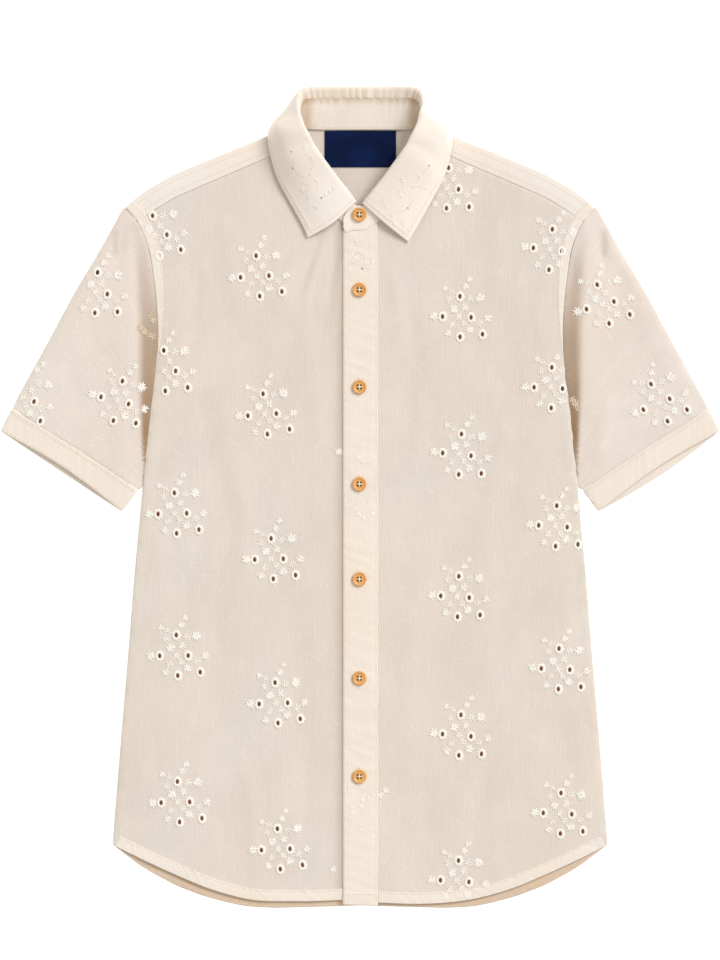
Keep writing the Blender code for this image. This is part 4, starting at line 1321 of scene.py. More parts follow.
@dataclass
class Front:
    """One front, with its side seam turned down to the back, its eyelets cut out, and its sprigs stitched."""

    side: Side
    finishes: Finishes
    creases: Sequence[Crease] = ()
    loose: Sequence[tuple[float, float, int]] = ()
    pitch: float = 3.3
    bulge: float = 1.1
    hem: float = 11.0
    felled: float = 10.0
    lap: float = -14.8
    yoke_face: float = 4.5

    def __post_init__(self) -> None:
        """Reads the front's solid and places its sprigs."""
        self.name = f"front_{self.side.word}"
        self.cloth = Cloth(Solid(self.name), self.creases, self.puckers)
        self.outer = self.raised(rounded_corners(self.cloth.outline, 3.2))
        if self.side is Side.LEFT:
            self.outer[:, 0] = np.maximum(self.outer[:, 0], self.lap)
            step = np.linalg.norm(self.outer - np.roll(self.outer, 1, axis=0), axis=1)
            self.outer = self.outer[step > 0.9]
        self.work = Embroiderer(self.outer, sprigs_of(self.name), 11 + self.side.value, self.loose)

    def puckers(self, x: np.ndarray, y: np.ndarray) -> np.ndarray:
        """The small gathers along the yoke's seam, the armhole and the side seam."""
        places = np.column_stack([x, y])
        seam = PLAN.line(PLAN.yoke_seam, self.side, 8)
        edge = PLAN.line(PLAN.side, self.side, 8)
        at_seam = bell(distance(places, seam), 7.0)
        at_edge = bell(distance(places, edge), 6.0)
        high = 0.30 * at_seam * rippled(x, 1.0 * self.side.value, 9.0)
        if self.side is Side.RIGHT:
            high = high + 0.85 * bell(x + 17.0, 7.0)
        return high + 0.22 * at_edge * rippled(y, 3.0 + self.side.value, 11.0)

    def raised(self, line: np.ndarray) -> np.ndarray:
        """A line in plan, with the right front's hem a little higher beside the placket."""
        inward = 1 - soft(62, 112, np.abs(line[:, 0]))
        share = inward * soft(-380, -395, line[:, 1]) * (self.side is Side.RIGHT)
        return line + np.column_stack([np.zeros(len(line)), 2.6 * share])

    def turned(self, ring: np.ndarray) -> np.ndarray:
        """How far the edge bulges out: at the side seam only."""
        seam = PLAN.line(PLAN.side, self.side, 4)
        seam = seam[seam[:, 1] < ARMPIT_Y + 2]
        near = distance(ring, seam) < 1.5
        inner = soft(0, 14, ARMPIT_Y - ring[:, 1]) * soft(0, 8, ring[:, 1] + 350)
        return 0.12 + (self.bulge - 0.12) * near * inner

    def tone(self, plan: np.ndarray) -> np.ndarray:
        """The soft shade beside the placket's folded edge."""
        beside = bell(np.maximum(0, -17.0 - plan[:, 0]), 5.5) * (plan[:, 0] < 5)
        return 0.30 * beside * (self.side is Side.RIGHT)

    def armhole(self) -> np.ndarray:
        """The armhole's seam and its run over the yoke's end, with the body to its left."""
        line = PLAN.line(((233.6, 290.4), *PLAN.side), self.side, 2)
        line = line[line[:, 1] > ARMPIT_Y - 3]
        return line[::-1] if self.side is Side.LEFT else line

    def taper(self) -> tuple[float, ...]:
        """The armhole strip's width along its line, as shares of its full width."""
        down = (0.95, 1.05, 1.0, 0.8, 0.45, 0.15)
        return down[::-1] if self.side is Side.LEFT else down

    def bound(self, x: np.ndarray, y: np.ndarray) -> np.ndarray:
        """The face that the armhole's strip lies on: the front, and the yoke's end above its seam."""
        seam = np.array(PLAN.yoke_seam) + (0, ORIGIN_Y)
        above = y - np.interp(x * self.side.value, seam[:, 0], seam[:, 1])
        over = soft(-2.0, 1.0, above) * soft(160, 180, x * self.side.value)
        return self.cloth.height(x, y) * (1 - over) + self.yoke_face * over

    def bottom(self) -> np.ndarray:
        """The hem's edge from left to right in plan, between the lap and the side seam."""
        line = PLAN.line(PLAN.hem, self.side, 2)
        line = self.raised(line[np.abs(line[:, 0]) < 245])
        return line if self.side is Side.LEFT else line[::-1]

    def edges(self) -> bpy.types.Object:
        """Makes the armhole's felled strip and the hem's turned one, in the cloth doubled."""
        form = Form()
        seed, face = self.side.value, self.cloth.height
        armhole = self.armhole()
        taper = self.taper()
        Strip(armhole, self.felled, self.bound, 2.0 + seed, 0.32, 1.4, 10.0, 0.14, taper=taper).add(form)
        Strip(self.bottom(), self.hem, face, 5.0 + seed, 0.28, wave=9.0, depth=0.30, slant=1.1).add(form)
        Strip(armhole - left_of(armhole) * 3.0, 7.0, face, 1.0, -1.5, depth=0.05).add(form)
        return form.build(f"strips_{self.name}", self.finishes.double, "shirt_cloth")

    def sewing(self) -> bpy.types.Object:
        """Makes the rows of stitches on the strips."""
        form = Form()
        line = self.armhole()
        run = run_of(line)
        share = np.interp(run, np.linspace(0, run[-1], len(self.taper())), self.taper())
        inner = line + left_of(line) * (self.felled * share - 1.2)[:, None]
        for row in (inner, offset(self.bottom(), self.hem - 1.3)):
            sew(form, draped(row, self.bound, 0.30))
        return form.build(f"seams_{self.name}", self.finishes.seam, "shirt_cloth")

    def build(self) -> list[bpy.types.Object]:
        """Makes the front and what is stitched on it."""
        form = Form()
        holes = self.work.holes()
        lay(form, self.outer, self.cloth.height, CLOTH, self.pitch, holes, self.turned, tone=self.tone)
        made = form.build(f"cloth_{self.name}", self.finishes.body, "shirt_cloth")
        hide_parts(self.name)
        floss = Form()
        self.work.stitch(floss, self.cloth.height)
        stitches = floss.build(f"floss_{self.name}", self.finishes.floss, "shirt_cloth")
        carried = [stitches, self.edges(), self.sewing()]
        return carried


@dataclass
class Back:
    """The back panel, flat on the floor, with the turned hem that shows below the fronts."""

    finishes: Finishes
    face: float = 0.65
    pitch: float = 5.5
    hem: float = 10.0

    def height(self, x: np.ndarray, y: np.ndarray) -> np.ndarray:
        """The back's face: nearly flat, with a few long soft waves."""
        wave = 0.10 * np.sin(x / 31 + y / 95) + 0.06 * np.sin(x / 17 - y / 60)
        return self.face + wave * 0.5

    def tone(self, plan: np.ndarray) -> np.ndarray:
        """The painted brown shade and glow of its covered inner face, which shows through the eyelets."""
        return covered(self.outer, plan)

    def build(self) -> bpy.types.Object:
        """Makes the back's cloth and its hem."""
        form, strip, thread = Form(), Form(), Form()
        self.outer = rounded_corners(Solid("back_panel").outline(), 4.0)
        lay(form, self.outer, self.height, CLOTH, self.pitch, tone=self.tone)
        made = form.build("cloth_back", self.finishes.body, "shirt_cloth")
        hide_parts("back_panel")
        line = np.array(PLAN.back_hem)
        line = np.concatenate([line[:0:-1] * (-1, 1), line]) + (0, ORIGIN_Y)
        line = evenly(spline(line, 12), 2.0)
        line = line[np.abs(line[:, 0]) < 240]
        hem = Strip(line + (0, 0.3), self.hem, self.height, 3.3, 1.35, 1.7, wave=10.0, depth=0.16, slant=1.1)
        hem.add(strip)
        # The back's hem strip takes the hem finish, painted shade under the fronts' edge.
        carried = [strip.build("strip_back_hem", self.finishes.hem, "shirt_cloth")]
        sew(thread, draped(offset(line, 3.0), self.height, 1.38), width=0.45)
        carried.append(thread.build("seams_back_hem", self.finishes.seam, "shirt_cloth"))
        return made


@dataclass
class Yoke:
    """The back yoke: flat behind the neck, turned over the shoulders, and seamed on the fronts."""

    finishes: Finishes
    low: float = 0.6
    high: float = 3.75
    wall: float = 0.6
    strip_wall: float = 0.95
    back_seam: float = 264.0 + ORIGIN_Y
    back_end: float = 216.8
    neck: float = 372.0 + ORIGIN_Y

    def tone(self, plan: np.ndarray) -> np.ndarray:
        """The inner side's tone: painted shade in the neck, and the painted brown shade and glow where the fronts
        cover it.
        """
        return 1.0 + soft(70, 90, np.abs(plan[:, 0]))

    def strip(self, side: Side) -> np.ndarray:
        """The turned strip's middle, from the inner layer round the fold to the front's seam."""
        folds, seams = (spline(PLAN.points(rows, side), 16) for rows in (PLAN.yoke_fold, PLAN.yoke_seam))
        run = run_of(seams)
        outward = folds - seams
        depth = np.linalg.norm(outward, axis=1, keepdims=True)
        outward = outward / depth
        radius = (self.high - self.low) / 2
        centre = folds - outward * (radius + self.wall / 2 + 0.3)
        rows = []
        for back in (5.0, 2.5, 0.0):
            rows.append(np.column_stack([centre - outward * back, np.full(len(run), self.low)]))
        for angle in np.linspace(-80, 90, 12):
            place = centre + outward * radius * math.cos(math.radians(angle))
            rise = self.low + radius + radius * math.sin(math.radians(angle))
            rows.append(np.column_stack([place, np.full(len(run), rise)]))
        length = np.linalg.norm(centre - seams, axis=1)
        for share in np.concatenate([np.linspace(0.12, 0.9, 9), [0.95, 0.985, 1.0]]):
            place = centre * (1 - share) + seams * share
            near_seam = bell((1 - share) * length, 3.6)
            belly = 0.35 * math.sin(math.pi * share)
            ripple = 0.20 * rippled(run, 4.0 * side.value, 8.0) * near_seam
            slow = 0.18 * rippled(run, 1.5 * side.value, 31.0) * math.sin(math.pi * min(1.0, share * 1.1))
            rows.append(np.column_stack([place, self.high + belly + ripple + slow]))
        return np.array(rows)

    def build(self) -> bpy.types.Object:
        """Makes the yoke."""
        form = Form()
        for side in Side:
            surface = self.strip(side)
            surface = surface if side is Side.LEFT else surface[:, ::-1]
            pillow(form, surface, self.strip_wall)
        rim = []
        for side in Side:
            folds = PLAN.line(PLAN.yoke_fold, side, 5)
            inset = folds + left_of(folds) * (-4.2 * side.value)
            rim.append(np.concatenate([[(side.value * self.back_end, self.back_seam)], inset[::-1]]))
        neck = [(x, self.neck + 3.0) for x in (52.0, 0.0, -52.0)]
        outer = closed(np.concatenate([rim[0], neck, rim[1][::-1]]))
        outer = at_stations(outer, np.arange(0, run_of(outer)[-1], 4.0))
        lay(form, outer, level(self.low + self.wall / 2), self.wall, 5.0, tone=self.tone)
        made = form.build("cloth_yoke", self.finishes.yoke, "inner_cloth")
        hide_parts("yoke")
        thread = Form()
        for side in Side:
            surface = self.strip(side)
            for row in (-6, -11):
                sew(thread, surface[row] + (0, 0, self.strip_wall / 2 - 0.03))
        carried = [thread.build("seams_yoke", self.finishes.seam, "inner_cloth")]
        return made


@dataclass
class Sleeve:
    """One sleeve, both layers, which meet in folds along its upper and under edges."""

    side: Side
    finishes: Finishes
    creases: Sequence[Crease] = ()
    loose: Sequence[tuple[float, float, int]] = ()
    pitch: float = 3.2
    bulge: float = 1.2
    rise: float = 0.9
    ridge: tuple[tuple[float, float], ...] = (
        (216.5, 20.0), (221.0, 66.0), (224.5, 112.0), (226.0, 158.0), (227.5, 204.0), (229.0, 243.0),
    )
    # How strong the painted valley shade is at each height: (height, strength).
    depth: tuple[tuple[float, float], ...] = (
        (20.0, 0.8), (65.0, 1.0), (97.0, 0.9), (127.0, 0.78), (157.0, 0.74), (187.0, 0.58), (212.0, 0.46),
        (237.0, 0.3), (255.0, 0.14), (275.0, 0.0),
    )

    def __post_init__(self) -> None:
        """Reads the sleeve's upper solid and places its sprigs."""
        self.name = f"sleeve_{self.side.word}"
        self.cloth = Cloth(Solid(f"{self.name}_front"), self.creases, self.puckers)
        self.outer = rounded_corners(self.cloth.outline, 3.0)
        self.work = Embroiderer(self.outer, sprigs_of(self.name), 21 + self.side.value)
        self.spray = Embroiderer(self.outer, (), 31 + self.side.value, self.loose)

    def puckers(self, x: np.ndarray, y: np.ndarray) -> np.ndarray:
        """The small gathers beside the armhole."""
        edge = PLAN.line(PLAN.side, self.side, 8)
        gap = distance(np.column_stack([x, y]), edge)
        close = bell(gap, 4.0) * soft(88, 112, y)
        return 0.28 * bell(gap, 7.0) * rippled(y, 5.0 + 2 * self.side.value, 8.0) + self.rise * close

    def tone(self, plan: np.ndarray) -> np.ndarray:
        """The painted shade in the valley between the sleeve's ridge and the body, and a painted shade line along
        a crease near the shoulder.
        """
        ridge = spline(np.array(self.ridge), 10) + (0, ORIGIN_Y)
        body = spline(np.array(PLAN.side), 10) + (0, ORIGIN_Y)
        x, y = plan[:, 0] * self.side.value, plan[:, 1]
        ridge_x = np.interp(y, ridge[:, 1], ridge[:, 0])
        body_x = np.interp(y, body[::-1, 1], body[::-1, 0])
        share = np.clip((ridge_x - x) / np.maximum(ridge_x - body_x, 1), 0, 1)
        depth = np.array(self.depth)
        along = np.interp(y, depth[:, 0], depth[:, 1])
        upper = soft(170, 230, y)
        valley = along * soft(0.04, 0.5, share) * (1 - 0.6 * upper * soft(0.6, 0.95, share))
        fold = bell(x - 244.5, 3.0) * soft(236, 246, y) * soft(276, 262, y)
        return valley + 0.25 * fold

    def turned(self, ring: np.ndarray) -> np.ndarray:
        """How far the edge bulges out: at the two folds."""
        x, y = ring[:, 0] * self.side.value, ring[:, 1]
        upper = self.flank(x, y, (235.0, 292.0), (347.4, 90.0))
        under = self.flank(x, y, (216.5, 18.0), (222.6, 9.6))
        return 0.12 + (self.bulge - 0.12) * np.maximum(upper, under)

    @staticmethod
    def flank(x: np.ndarray, y: np.ndarray, start: tuple[float, float], end: tuple[float, float]) -> np.ndarray:
        """1 near the fold from start to end, in the garment's own height, and 0 elsewhere."""
        line = np.array([start, end]) + (0, ORIGIN_Y)
        along = line[1] - line[0]
        share = ((np.column_stack([x, y]) - line[0]) @ along) / (along @ along)
        near = distance(np.column_stack([x, y]), line) < 9
        return near * soft(0.0, 0.04, share) * soft(1.0, 0.96, share)

    def build(self) -> bpy.types.Object:
        """Makes the sleeve's cloth."""
        form = Form()
        holes = self.work.holes()
        lay(form, self.outer, self.cloth.height, CLOTH, self.pitch, holes, self.turned, tone=self.tone)
        # The lower layer's inner face takes the painted brown shade and glow, seen through the eyelets.
        lay(form, self.outer, level(0.62), CLOTH, 5.0, tone=lambda plan: covered(self.outer, plan))
        made = form.build(f"cloth_{self.name}", self.finishes.sleeves[self.side], "shirt_cloth")
        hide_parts(f"{self.name}_front", f"{self.name}_back")
        floss = Form()
        self.work.stitch(floss, self.cloth.height)
        spray = Form()
        self.spray.stitch(spray, self.cloth.height)
        carried = [floss.build(f"floss_{self.name}", self.finishes.floss, "shirt_cloth")]
        carried.append(spray.build(f"spray_{self.name}", self.finishes.shaded_floss, "shirt_cloth"))
        return made


@dataclass
class Band:
    """The band round a sleeve's end, both layers."""

    side: Side
    finishes: Finishes
    pitch: float = 2.6

    def __post_init__(self) -> None:
        """Reads the band's upper solid."""
        self.cloth = Cloth(Solid(f"sleeve_band_{self.side.word}_front"), (), self.puckers)

    def puckers(self, x: np.ndarray, y: np.ndarray) -> np.ndarray:
        """The slanted ripples of a stitched band."""
        run = x * self.side.value * 0.84 + y * 0.54
        return 0.22 * rippled(run - 0.6 * (y * 0.84 - x * self.side.value * 0.54), 6.0 + self.side.value, 9.0)

    def turned(self, ring: np.ndarray) -> np.ndarray:
        """How far the edge bulges out: at the two folds."""
        x, y = ring[:, 0] * self.side.value, ring[:, 1]
        upper = Sleeve.flank(x, y, (347.4, 90.0), (358.8, 67.5)) * (x > 340)
        under = Sleeve.flank(x, y, (222.6, 9.6), (239.0, -12.0)) * (x < 242)
        return 0.12 + 1.0 * np.maximum(upper, under)

    def build(self) -> bpy.types.Object:
        """Makes the band."""
        form = Form()
        upper = rounded_corners(self.cloth.outline, 2.6)
        lay(form, upper, self.cloth.height, 0.8, self.pitch, turned=self.turned)
        lower = rounded_corners(Solid(f"sleeve_band_{self.side.word}_back").outline(), 2.6)
        lay(form, lower, level(1.0), 0.9, 3.4)
        made = form.build(f"cloth_band_{self.side.word}", self.finishes.double, "double_cloth")
        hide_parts(f"sleeve_band_{self.side.word}_front", f"sleeve_band_{self.side.word}_back")
        seam = PLAN.points(PLAN.band_seam, self.side)
        seam = evenly(spline(seam if self.side is Side.RIGHT else seam[::-1], 10), 2.0)
        thread = Form()
        for reach in (2.4, 4.4):
            sew(thread, draped(offset(seam, -reach), self.cloth.height, 0.0))
        carried = [thread.build(f"seams_band_{self.side.word}", self.finishes.seam, "double_cloth")]
        return made


# Low marks in the cloth's own colour: stars by place and reach, pinholes and the ways of vines by place
COLLAR_STARS = (
    (-72.1, 377.3, 2.0), (-55.4, 351.1, 2.6), (-49.3, 340.4, 2.8), (-49.3, 324.0, 2.2), (-44.3, 318.0, 2.6),
    (-54.3, 315.4, 2.4), (-57.8, 308.3, 2.9), (-51.9, 300.0, 3.0), (-34.5, 303.5, 1.7), (-30.4, 307.1, 1.7),
    (-26.9, 310.7, 1.7), (-43.5, 291.6, 3.0), (70.7, 376.1, 2.0), (58.7, 322.6, 2.6), (64.7, 310.7, 2.6),
    (56.5, 314.2, 2.9), (54.1, 312.0, 2.4), (42.2, 318.0, 2.8), (38.6, 307.0, 2.9), (41.0, 302.3, 2.4),
    (23.1, 295.2, 2.4), (26.7, 291.6, 2.4), (31.5, 283.3, 2.2), (32.7, 278.5, 2.4), (35.0, 273.8, 2.2),
    (44.6, 266.6, 2.2),
)
COLLAR_PINHOLES = ((-68.5, 345.9), (-67.3, 329.7), (-38.8, 300.4), (68.4, 332.1), (47.4, 290.4))
COLLAR_VINES = (
    ((-67.1, 337.0), (-64.8, 328.5), (-60.8, 323.0), (-56.8, 320.0)),
    ((-56.8, 344.0), (-50.8, 339.5), (-46.8, 333.5), (-49.3, 327.5), (-51.8, 321.0)),
    ((-53.8, 319.5), (-51.8, 313.0), (-53.8, 306.0), (-50.3, 298.5)),
    ((-60.8, 309.0), (-55.3, 307.5), (-50.8, 309.0)),
    ((-45.3, 319.0), (-42.8, 313.0), (-44.3, 310.0)),
    ((-38.3, 300.5), (-32.8, 303.5), (-27.8, 308.0), (-25.3, 312.5)),
    ((-44.8, 289.0), (-42.3, 294.0), (-39.3, 296.0)),
    ((19.2, 299.0), (25.2, 296.0), (26.7, 292.0)),
    ((29.7, 283.5), (36.7, 286.5), (41.7, 287.0), (48.2, 291.0)),
    ((39.2, 319.0), (42.2, 313.0), (39.7, 307.0), (36.7, 309.0)),
    ((61.7, 310.0), (56.2, 313.0), (58.2, 320.0), (62.7, 325.0), (68.7, 331.5)),
    ((52.7, 300.0), (50.7, 295.0), (46.7, 291.0)),
    ((40.7, 279.0), (43.2, 271.5), (49.2, 266.0)),
)
PLACKET_STARS = (
    (-4.3, 258.3, 2.2), (-3.1, 254.7, 2.0), (-9.0, 244.0, 3.0), (-4.3, 241.6, 2.6), (4.1, 244.0, 3.0),
    (6.5, 239.2, 2.6), (12.4, 236.9, 2.4), (10.9, 133.0, 2.4), (-1.9, 41.4, 2.4), (2.4, 37.2, 2.2),
    (13.0, 41.4, 2.2), (-6.2, -10.7, 2.8), (-1.9, -15.0, 2.4), (2.4, -19.2, 2.2), (12.5, -8.6, 2.4),
    (12.8, -14.9, 2.2), (-11.5, -287.3, 2.4), (-7.8, -292.3, 2.2), (2.2, -301.0, 2.4), (8.5, -299.0, 2.6),
    (13.0, -296.5, 2.8), (1.0, -307.3, 2.2), (-9.0, -307.3, 2.0), (-7.8, -313.5, 2.0), (-0.3, -326.0, 2.2),
    (1.0, -331.0, 2.0),
)
PLACKET_VINES = (
    ((-5.3, 255.0), (-1.8, 258.0), (1.7, 256.0)),
    ((-10.3, 234.5), (-7.8, 241.0), (-3.3, 246.5), (2.2, 243.5), (5.2, 240.0)),
    ((-8.3, 234.5), (-2.3, 238.0), (3.7, 240.0), (10.7, 238.5), (9.2, 234.0), (1.2, 235.5)),
    ((-13.3, -4.0), (-9.7, -1.2), (-5.3, -2.4), (-4.1, -6.4), (-10.9, -9.2)),
    ((5.1, 0.4), (7.5, -2.8), (6.7, -7.2)),
    ((-4.5, 45.2), (-5.7, 42.8), (-3.7, 41.2)),
    ((-2.9, 134.0), (1.1, 132.0), (4.7, 133.6)),
)
PLACKET_PINHOLES = ((2.2, 230.4),)


# Collar
Row = tuple[tuple[float, float, float], ...]


@dataclass
class Collar:
    """The stand and the leaf, from one table of sections round the neck.

    Each section gives the foot on the neck seam, the seam of stand and leaf, the roll, the belly and the edge.
    """

    finishes: Finishes
    lap: float = 1.9
    wall: float = 1.35
    leaf_start: float = -0.9
    stitch_in: float = 5.5
    right_tip: tuple[float, float] = (52.4, 261.0)
    left_corner: tuple[tuple[float, float], ...] = ((2.2, 294.9), (25.4, 274.4), (48.2, 256.6))
    sections: tuple[Row, ...] = (
        ((0, 369, 2.6), (0, 401, 11.5), (0, 411, 13), (0, 404, 5), (0, 374, 0.8)),
        ((28, 369, 2.6), (28, 401, 12.2), (29, 411, 14), (29, 404, 5.5), (28, 374, 0.8)),
        ((48, 369.4, 2.8), (49, 400.5, 16), (51, 410.5, 18.5), (52, 403, 8), (51, 376, 0.8)),
        ((58.5, 370.8, 3.9), (57.5, 397.5, 21), (60.6, 405.5, 24), (66, 396, 10), (66, 379, 0.8)),
        ((64.6, 371.6, 5.4), (60, 387, 26), (62.8, 394.5, 30), (74.5, 388, 17), (79, 377, 1.0)),
        ((67, 366, 5.4), (57.6, 374, 28), (60.4, 379.5, 32.3), (81.5, 379.5, 21.5), (89, 371, 5)),
        ((66, 357, 5.4), (52, 361.4, 28.5), (54.4, 365.2, 32.6), (80.5, 364.5, 26.5), (92.2, 356.5, 6.3)),
        ((61.5, 339, 5.4), (40.8, 342.2, 25), (42.8, 344.8, 28.9), (68, 337, 24), (84.2, 323.5, 7)),
        ((48, 309, 5.4), (24.6, 320.2, 17.3), (26.4, 322.8, 21), (52, 313, 19), (71.5, 298.5, 7)),
        ((28, 285, 5.4), (11, 303, 11.2), (12.4, 305.5, 15.6), (37, 290.5, 15), (57.5, 273, 7)),
        ((6, 269.6, 5.3), (5, 293.6, 7.4), (5.2, 296.2, 11.4), (27, 275.6, 12), (49, 257.2, 7)),
    )
    creases: tuple[tuple[float, float, float, float], ...] = (
        (88.0, 0.5, 4.5, 0.8), (101.0, 0.9, 6.0, -0.6), (126.0, 0.3, 7.0, 0.5), (66.0, 0.2, 8.0, -0.4),
        (-92.0, -0.4, 7.0, 0.45), (-74.0, -0.6, 6.0, -0.4), (-120.0, 0.2, 8.0, 0.4),
        (-140.0, -0.5, 6.0, -0.3),
    )
    left_tab: tuple[Row, ...] = (
        ((-6, 268.3, 5.3), (-4.5, 292.8, 7.1)),
        ((-11.5, 266.8, 5.3), (-9.4, 291.0, 7.0)),
        ((-14.6, 266.4, 5.4), (-13.6, 287.4, 6.8)),
        ((-16.2, 268.6, 5.5), (-16.3, 282.6, 6.5)),
        ((-16.9, 272.6, 5.6), (-17.0, 278.0, 6.0)),
    )
    right_tab: tuple[Row, ...] = (
        ((-5, 270.5, 5.3), (-4.5, 290.4, 7.0)),
        ((-10, 275.0, 5.4), (-9, 288.5, 6.9)),
    )

    def lifted(self, foot_x: np.ndarray, side: Side) -> np.ndarray:
        """How far the lap raises a section: the wearer's left only."""
        return self.lap * (1 - soft(20, 60, foot_x)) if side is Side.LEFT else foot_x * 0

    def stand_lines(self, side: Side) -> np.ndarray:
        """The stand's feet and seams on one side, from the centre back to the tab's end."""
        tab = self.left_tab if side is Side.LEFT else self.right_tab
        lines = np.array([row[:2] for row in self.sections] + list(tab), float)
        lines[:, :, 2] += self.lifted(lines[:, :1, 0], side)
        return lines * (side.value, 1, 1) + (0, ORIGIN_Y, 0)

    def stand(self) -> bpy.types.Object:
        """Makes the stand."""
        halves = {side: self.stand_lines(side) for side in Side}
        ends = np.concatenate([halves[Side.RIGHT][:0:-1], halves[Side.LEFT]])
        fine = spline(ends, 12)
        foot, seam = fine[:, 0], fine[:, 1]
        depth = edged_stations(1.0, 0.075, 0.03)
        surface = np.stack([foot * (1 - t) + seam * t for t in depth])
        run = run_of(foot)
        low = bell(depth[:, None] * 22, 5.0) * 0.22 * rippled(run, 7.0, 8.0)
        high = bell((1 - depth[:, None]) * 26, 7.0) * 0.6 * rippled(run, 5.0, 8.5)
        ends_flat = soft(0, 26, run) * soft(0, 26, run[-1] - run)
        surface = surface + normals_of(surface) * ((low + high) * ends_flat)[..., None]
        # Painted shade: darker at the stand's bends behind the neck, and along its top edge under the leaf's
        # roll, most in the ripples' hollows.
        turn = np.abs(surface[..., 0])
        behind = soft(360, 372, surface[..., 1])
        bend = behind * soft(44, 54, turn)
        hollow = 0.5 - 0.5 * np.tanh(1.4 * rippled(run, 5.0, 8.5))
        top = behind * soft(0.72, 0.97, depth)[:, None] * (0.25 + 0.6 * hollow)
        form = Form()
        pillow(form, surface, self.wall, 1.0, tone=np.clip(0.6 * bend + top, 0, 1))
        made = form.build("cloth_stand", self.finishes.stand, "double_cloth")
        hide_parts("collar_stand")
        thread = Form()
        for share in (0.07, 0.93):
            row = foot * (1 - share) + seam * share
            side = np.cross(np.gradient(row, axis=0), seam - foot)
            side /= np.linalg.norm(side, axis=1, keepdims=True)
            face = np.where(side[:, 2:] < 0, -1, 1) * side * (self.wall / 2 - 0.02)
            sew(thread, row + face, width=0.42, rise=0.16)
        carried = [thread.build("seams_stand", self.finishes.seam, "double_cloth")]
        return made

    def leaf_surface(self) -> np.ndarray:
        """The leaf's middle: rows from the stand's seam over the roll to the edge, columns round the neck."""
        halves = {}
        for side in Side:
            rows = np.array([row[1:] for row in self.sections], float)
            foot = np.array([row[0][0] for row in self.sections], float)
            rows[:, 0, 2] += self.lifted(foot, side)
            step = rows[:, 1] - rows[:, 0]
            rows[:, 0] += step / np.linalg.norm(step, axis=1, keepdims=True) * self.leaf_start
            if side is Side.RIGHT:
                rows[-1, -1, :2] = self.right_tip
            else:
                rows[-1, 1:, :2] = self.left_corner
            halves[side] = rows * (side.value, 1, 1) + (0, ORIGIN_Y, 0)
        ends = np.concatenate([halves[Side.RIGHT][:0:-1], halves[Side.LEFT]])
        across = spline(ends.swapaxes(0, 1), 12).swapaxes(0, 1)
        fine = spline(across, 14)
        surface = []
        for column in fine:
            length = run_of(column)[-1]
            stations = edged_stations(length, length / 22, min(1.2, length / 12))
            stitched = length - self.stitch_in + np.array([-1.5, -0.75, 0.0, 0.75, 1.5])
            keep = np.argsort(np.abs(stations - (length - self.stitch_in)))[3:]
            surface.append(at_stations(column, np.sort(np.concatenate([stations[np.sort(keep)], stitched]))))
        return np.array(surface).swapaxes(0, 1)

    def gathered(self, surface: np.ndarray) -> np.ndarray:
        """The leaf's middle with the ripples across its roll behind the neck, and its soft creases in front."""
        rows, columns = surface.shape[:2]
        share = np.linspace(0, 1, rows)[:, None]
        run = run_of(surface[rows // 3])[None]
        middle = run[0, -1] / 2
        behind = 1 - soft(40, 95, np.abs(run - middle))
        ripple = rippled(run[0], 6.4, 8.5)[None] * bell(share - 0.10, 0.16) * (0.15 + 0.85 * behind)
        edge = rippled(run[0], 2.4, 12.0)[None] * bell(share - 0.93, 0.08) * 0.5
        front = np.zeros((rows, columns))
        for place, turn, width, rise in self.creases:
            along = run - middle - place - turn * (share - 0.5) * 60
            front += rise * bell(along, width) * np.sin(math.pi * np.clip(share * 1.05, 0, 1)) ** 0.8
        down, over = runs_of(surface, 0), runs_of(surface, 1)
        gap = np.minimum(down[-1:] - down, np.minimum(over, over[:, -1:] - over))
        groove = bell(gap - self.stitch_in, 0.8) * (1 - behind)
        rise = 1.25 * ripple + 0.2 * edge + 2.2 * front - 0.3 * groove
        return surface + normals_of(surface) * rise[..., None]

    def shaded(self, surface: np.ndarray) -> np.ndarray:
        """The leaf's tone, painted shade: darker over the roll behind the neck, in the hollows of its ripples,
        and at the stand's seam.
        """
        share = np.linspace(0, 1, surface.shape[0])[:, None]
        run = run_of(surface[surface.shape[0] // 3])[None]
        behind = 1 - soft(62, 84, np.abs(run - run[0, -1] / 2))
        hollow = 0.5 - 0.5 * np.tanh(1.4 * rippled(run[0], 6.4, 8.5))[None]
        at_seam = 1 - soft(0.0, 0.05, share)
        return behind * (1 - soft(0.2, 0.34, share)) * (0.14 + 0.42 * hollow + 0.34 * at_seam)

    def leaf(self) -> bpy.types.Object:
        """Makes the leaf."""
        surface = self.gathered(self.leaf_surface())
        ends = edged_stations(float(surface.shape[1] - 1), 1.0, 1.0)
        low = np.floor(ends).astype(int).clip(0, surface.shape[1] - 2)
        share = (ends - low)[None, :, None]
        surface = surface[:, low] * (1 - share) + surface[:, low + 1] * share
        form = Form()
        pillow(form, surface, self.wall, 1.1, tone=self.shaded(surface))
        made = form.build("cloth_leaf", self.finishes.stand, "double_cloth")
        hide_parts("collar_leaf")
        outward = normals_of(surface)
        outward *= np.sign(outward[surface.shape[0] // 2, surface.shape[1] // 10, 2])
        thread = Form()
        face = surface + outward * (self.wall / 2 - 0.02)
        places = runs_of(face, 0)[-1:] - self.stitch_in
        row = [at_stations(face[:, k], places[:, k])[0] for k in range(4, face.shape[1] - 4)]
        sew(thread, np.array(row))
        for column in (8, -9):
            sew(thread, face[6:-6, column])
        carried = [thread.build("seams_leaf", self.finishes.seam, "double_cloth")]
        carried += Traces(face, COLLAR_STARS, COLLAR_PINHOLES, COLLAR_VINES).build("leaf", self.finishes)
        return made


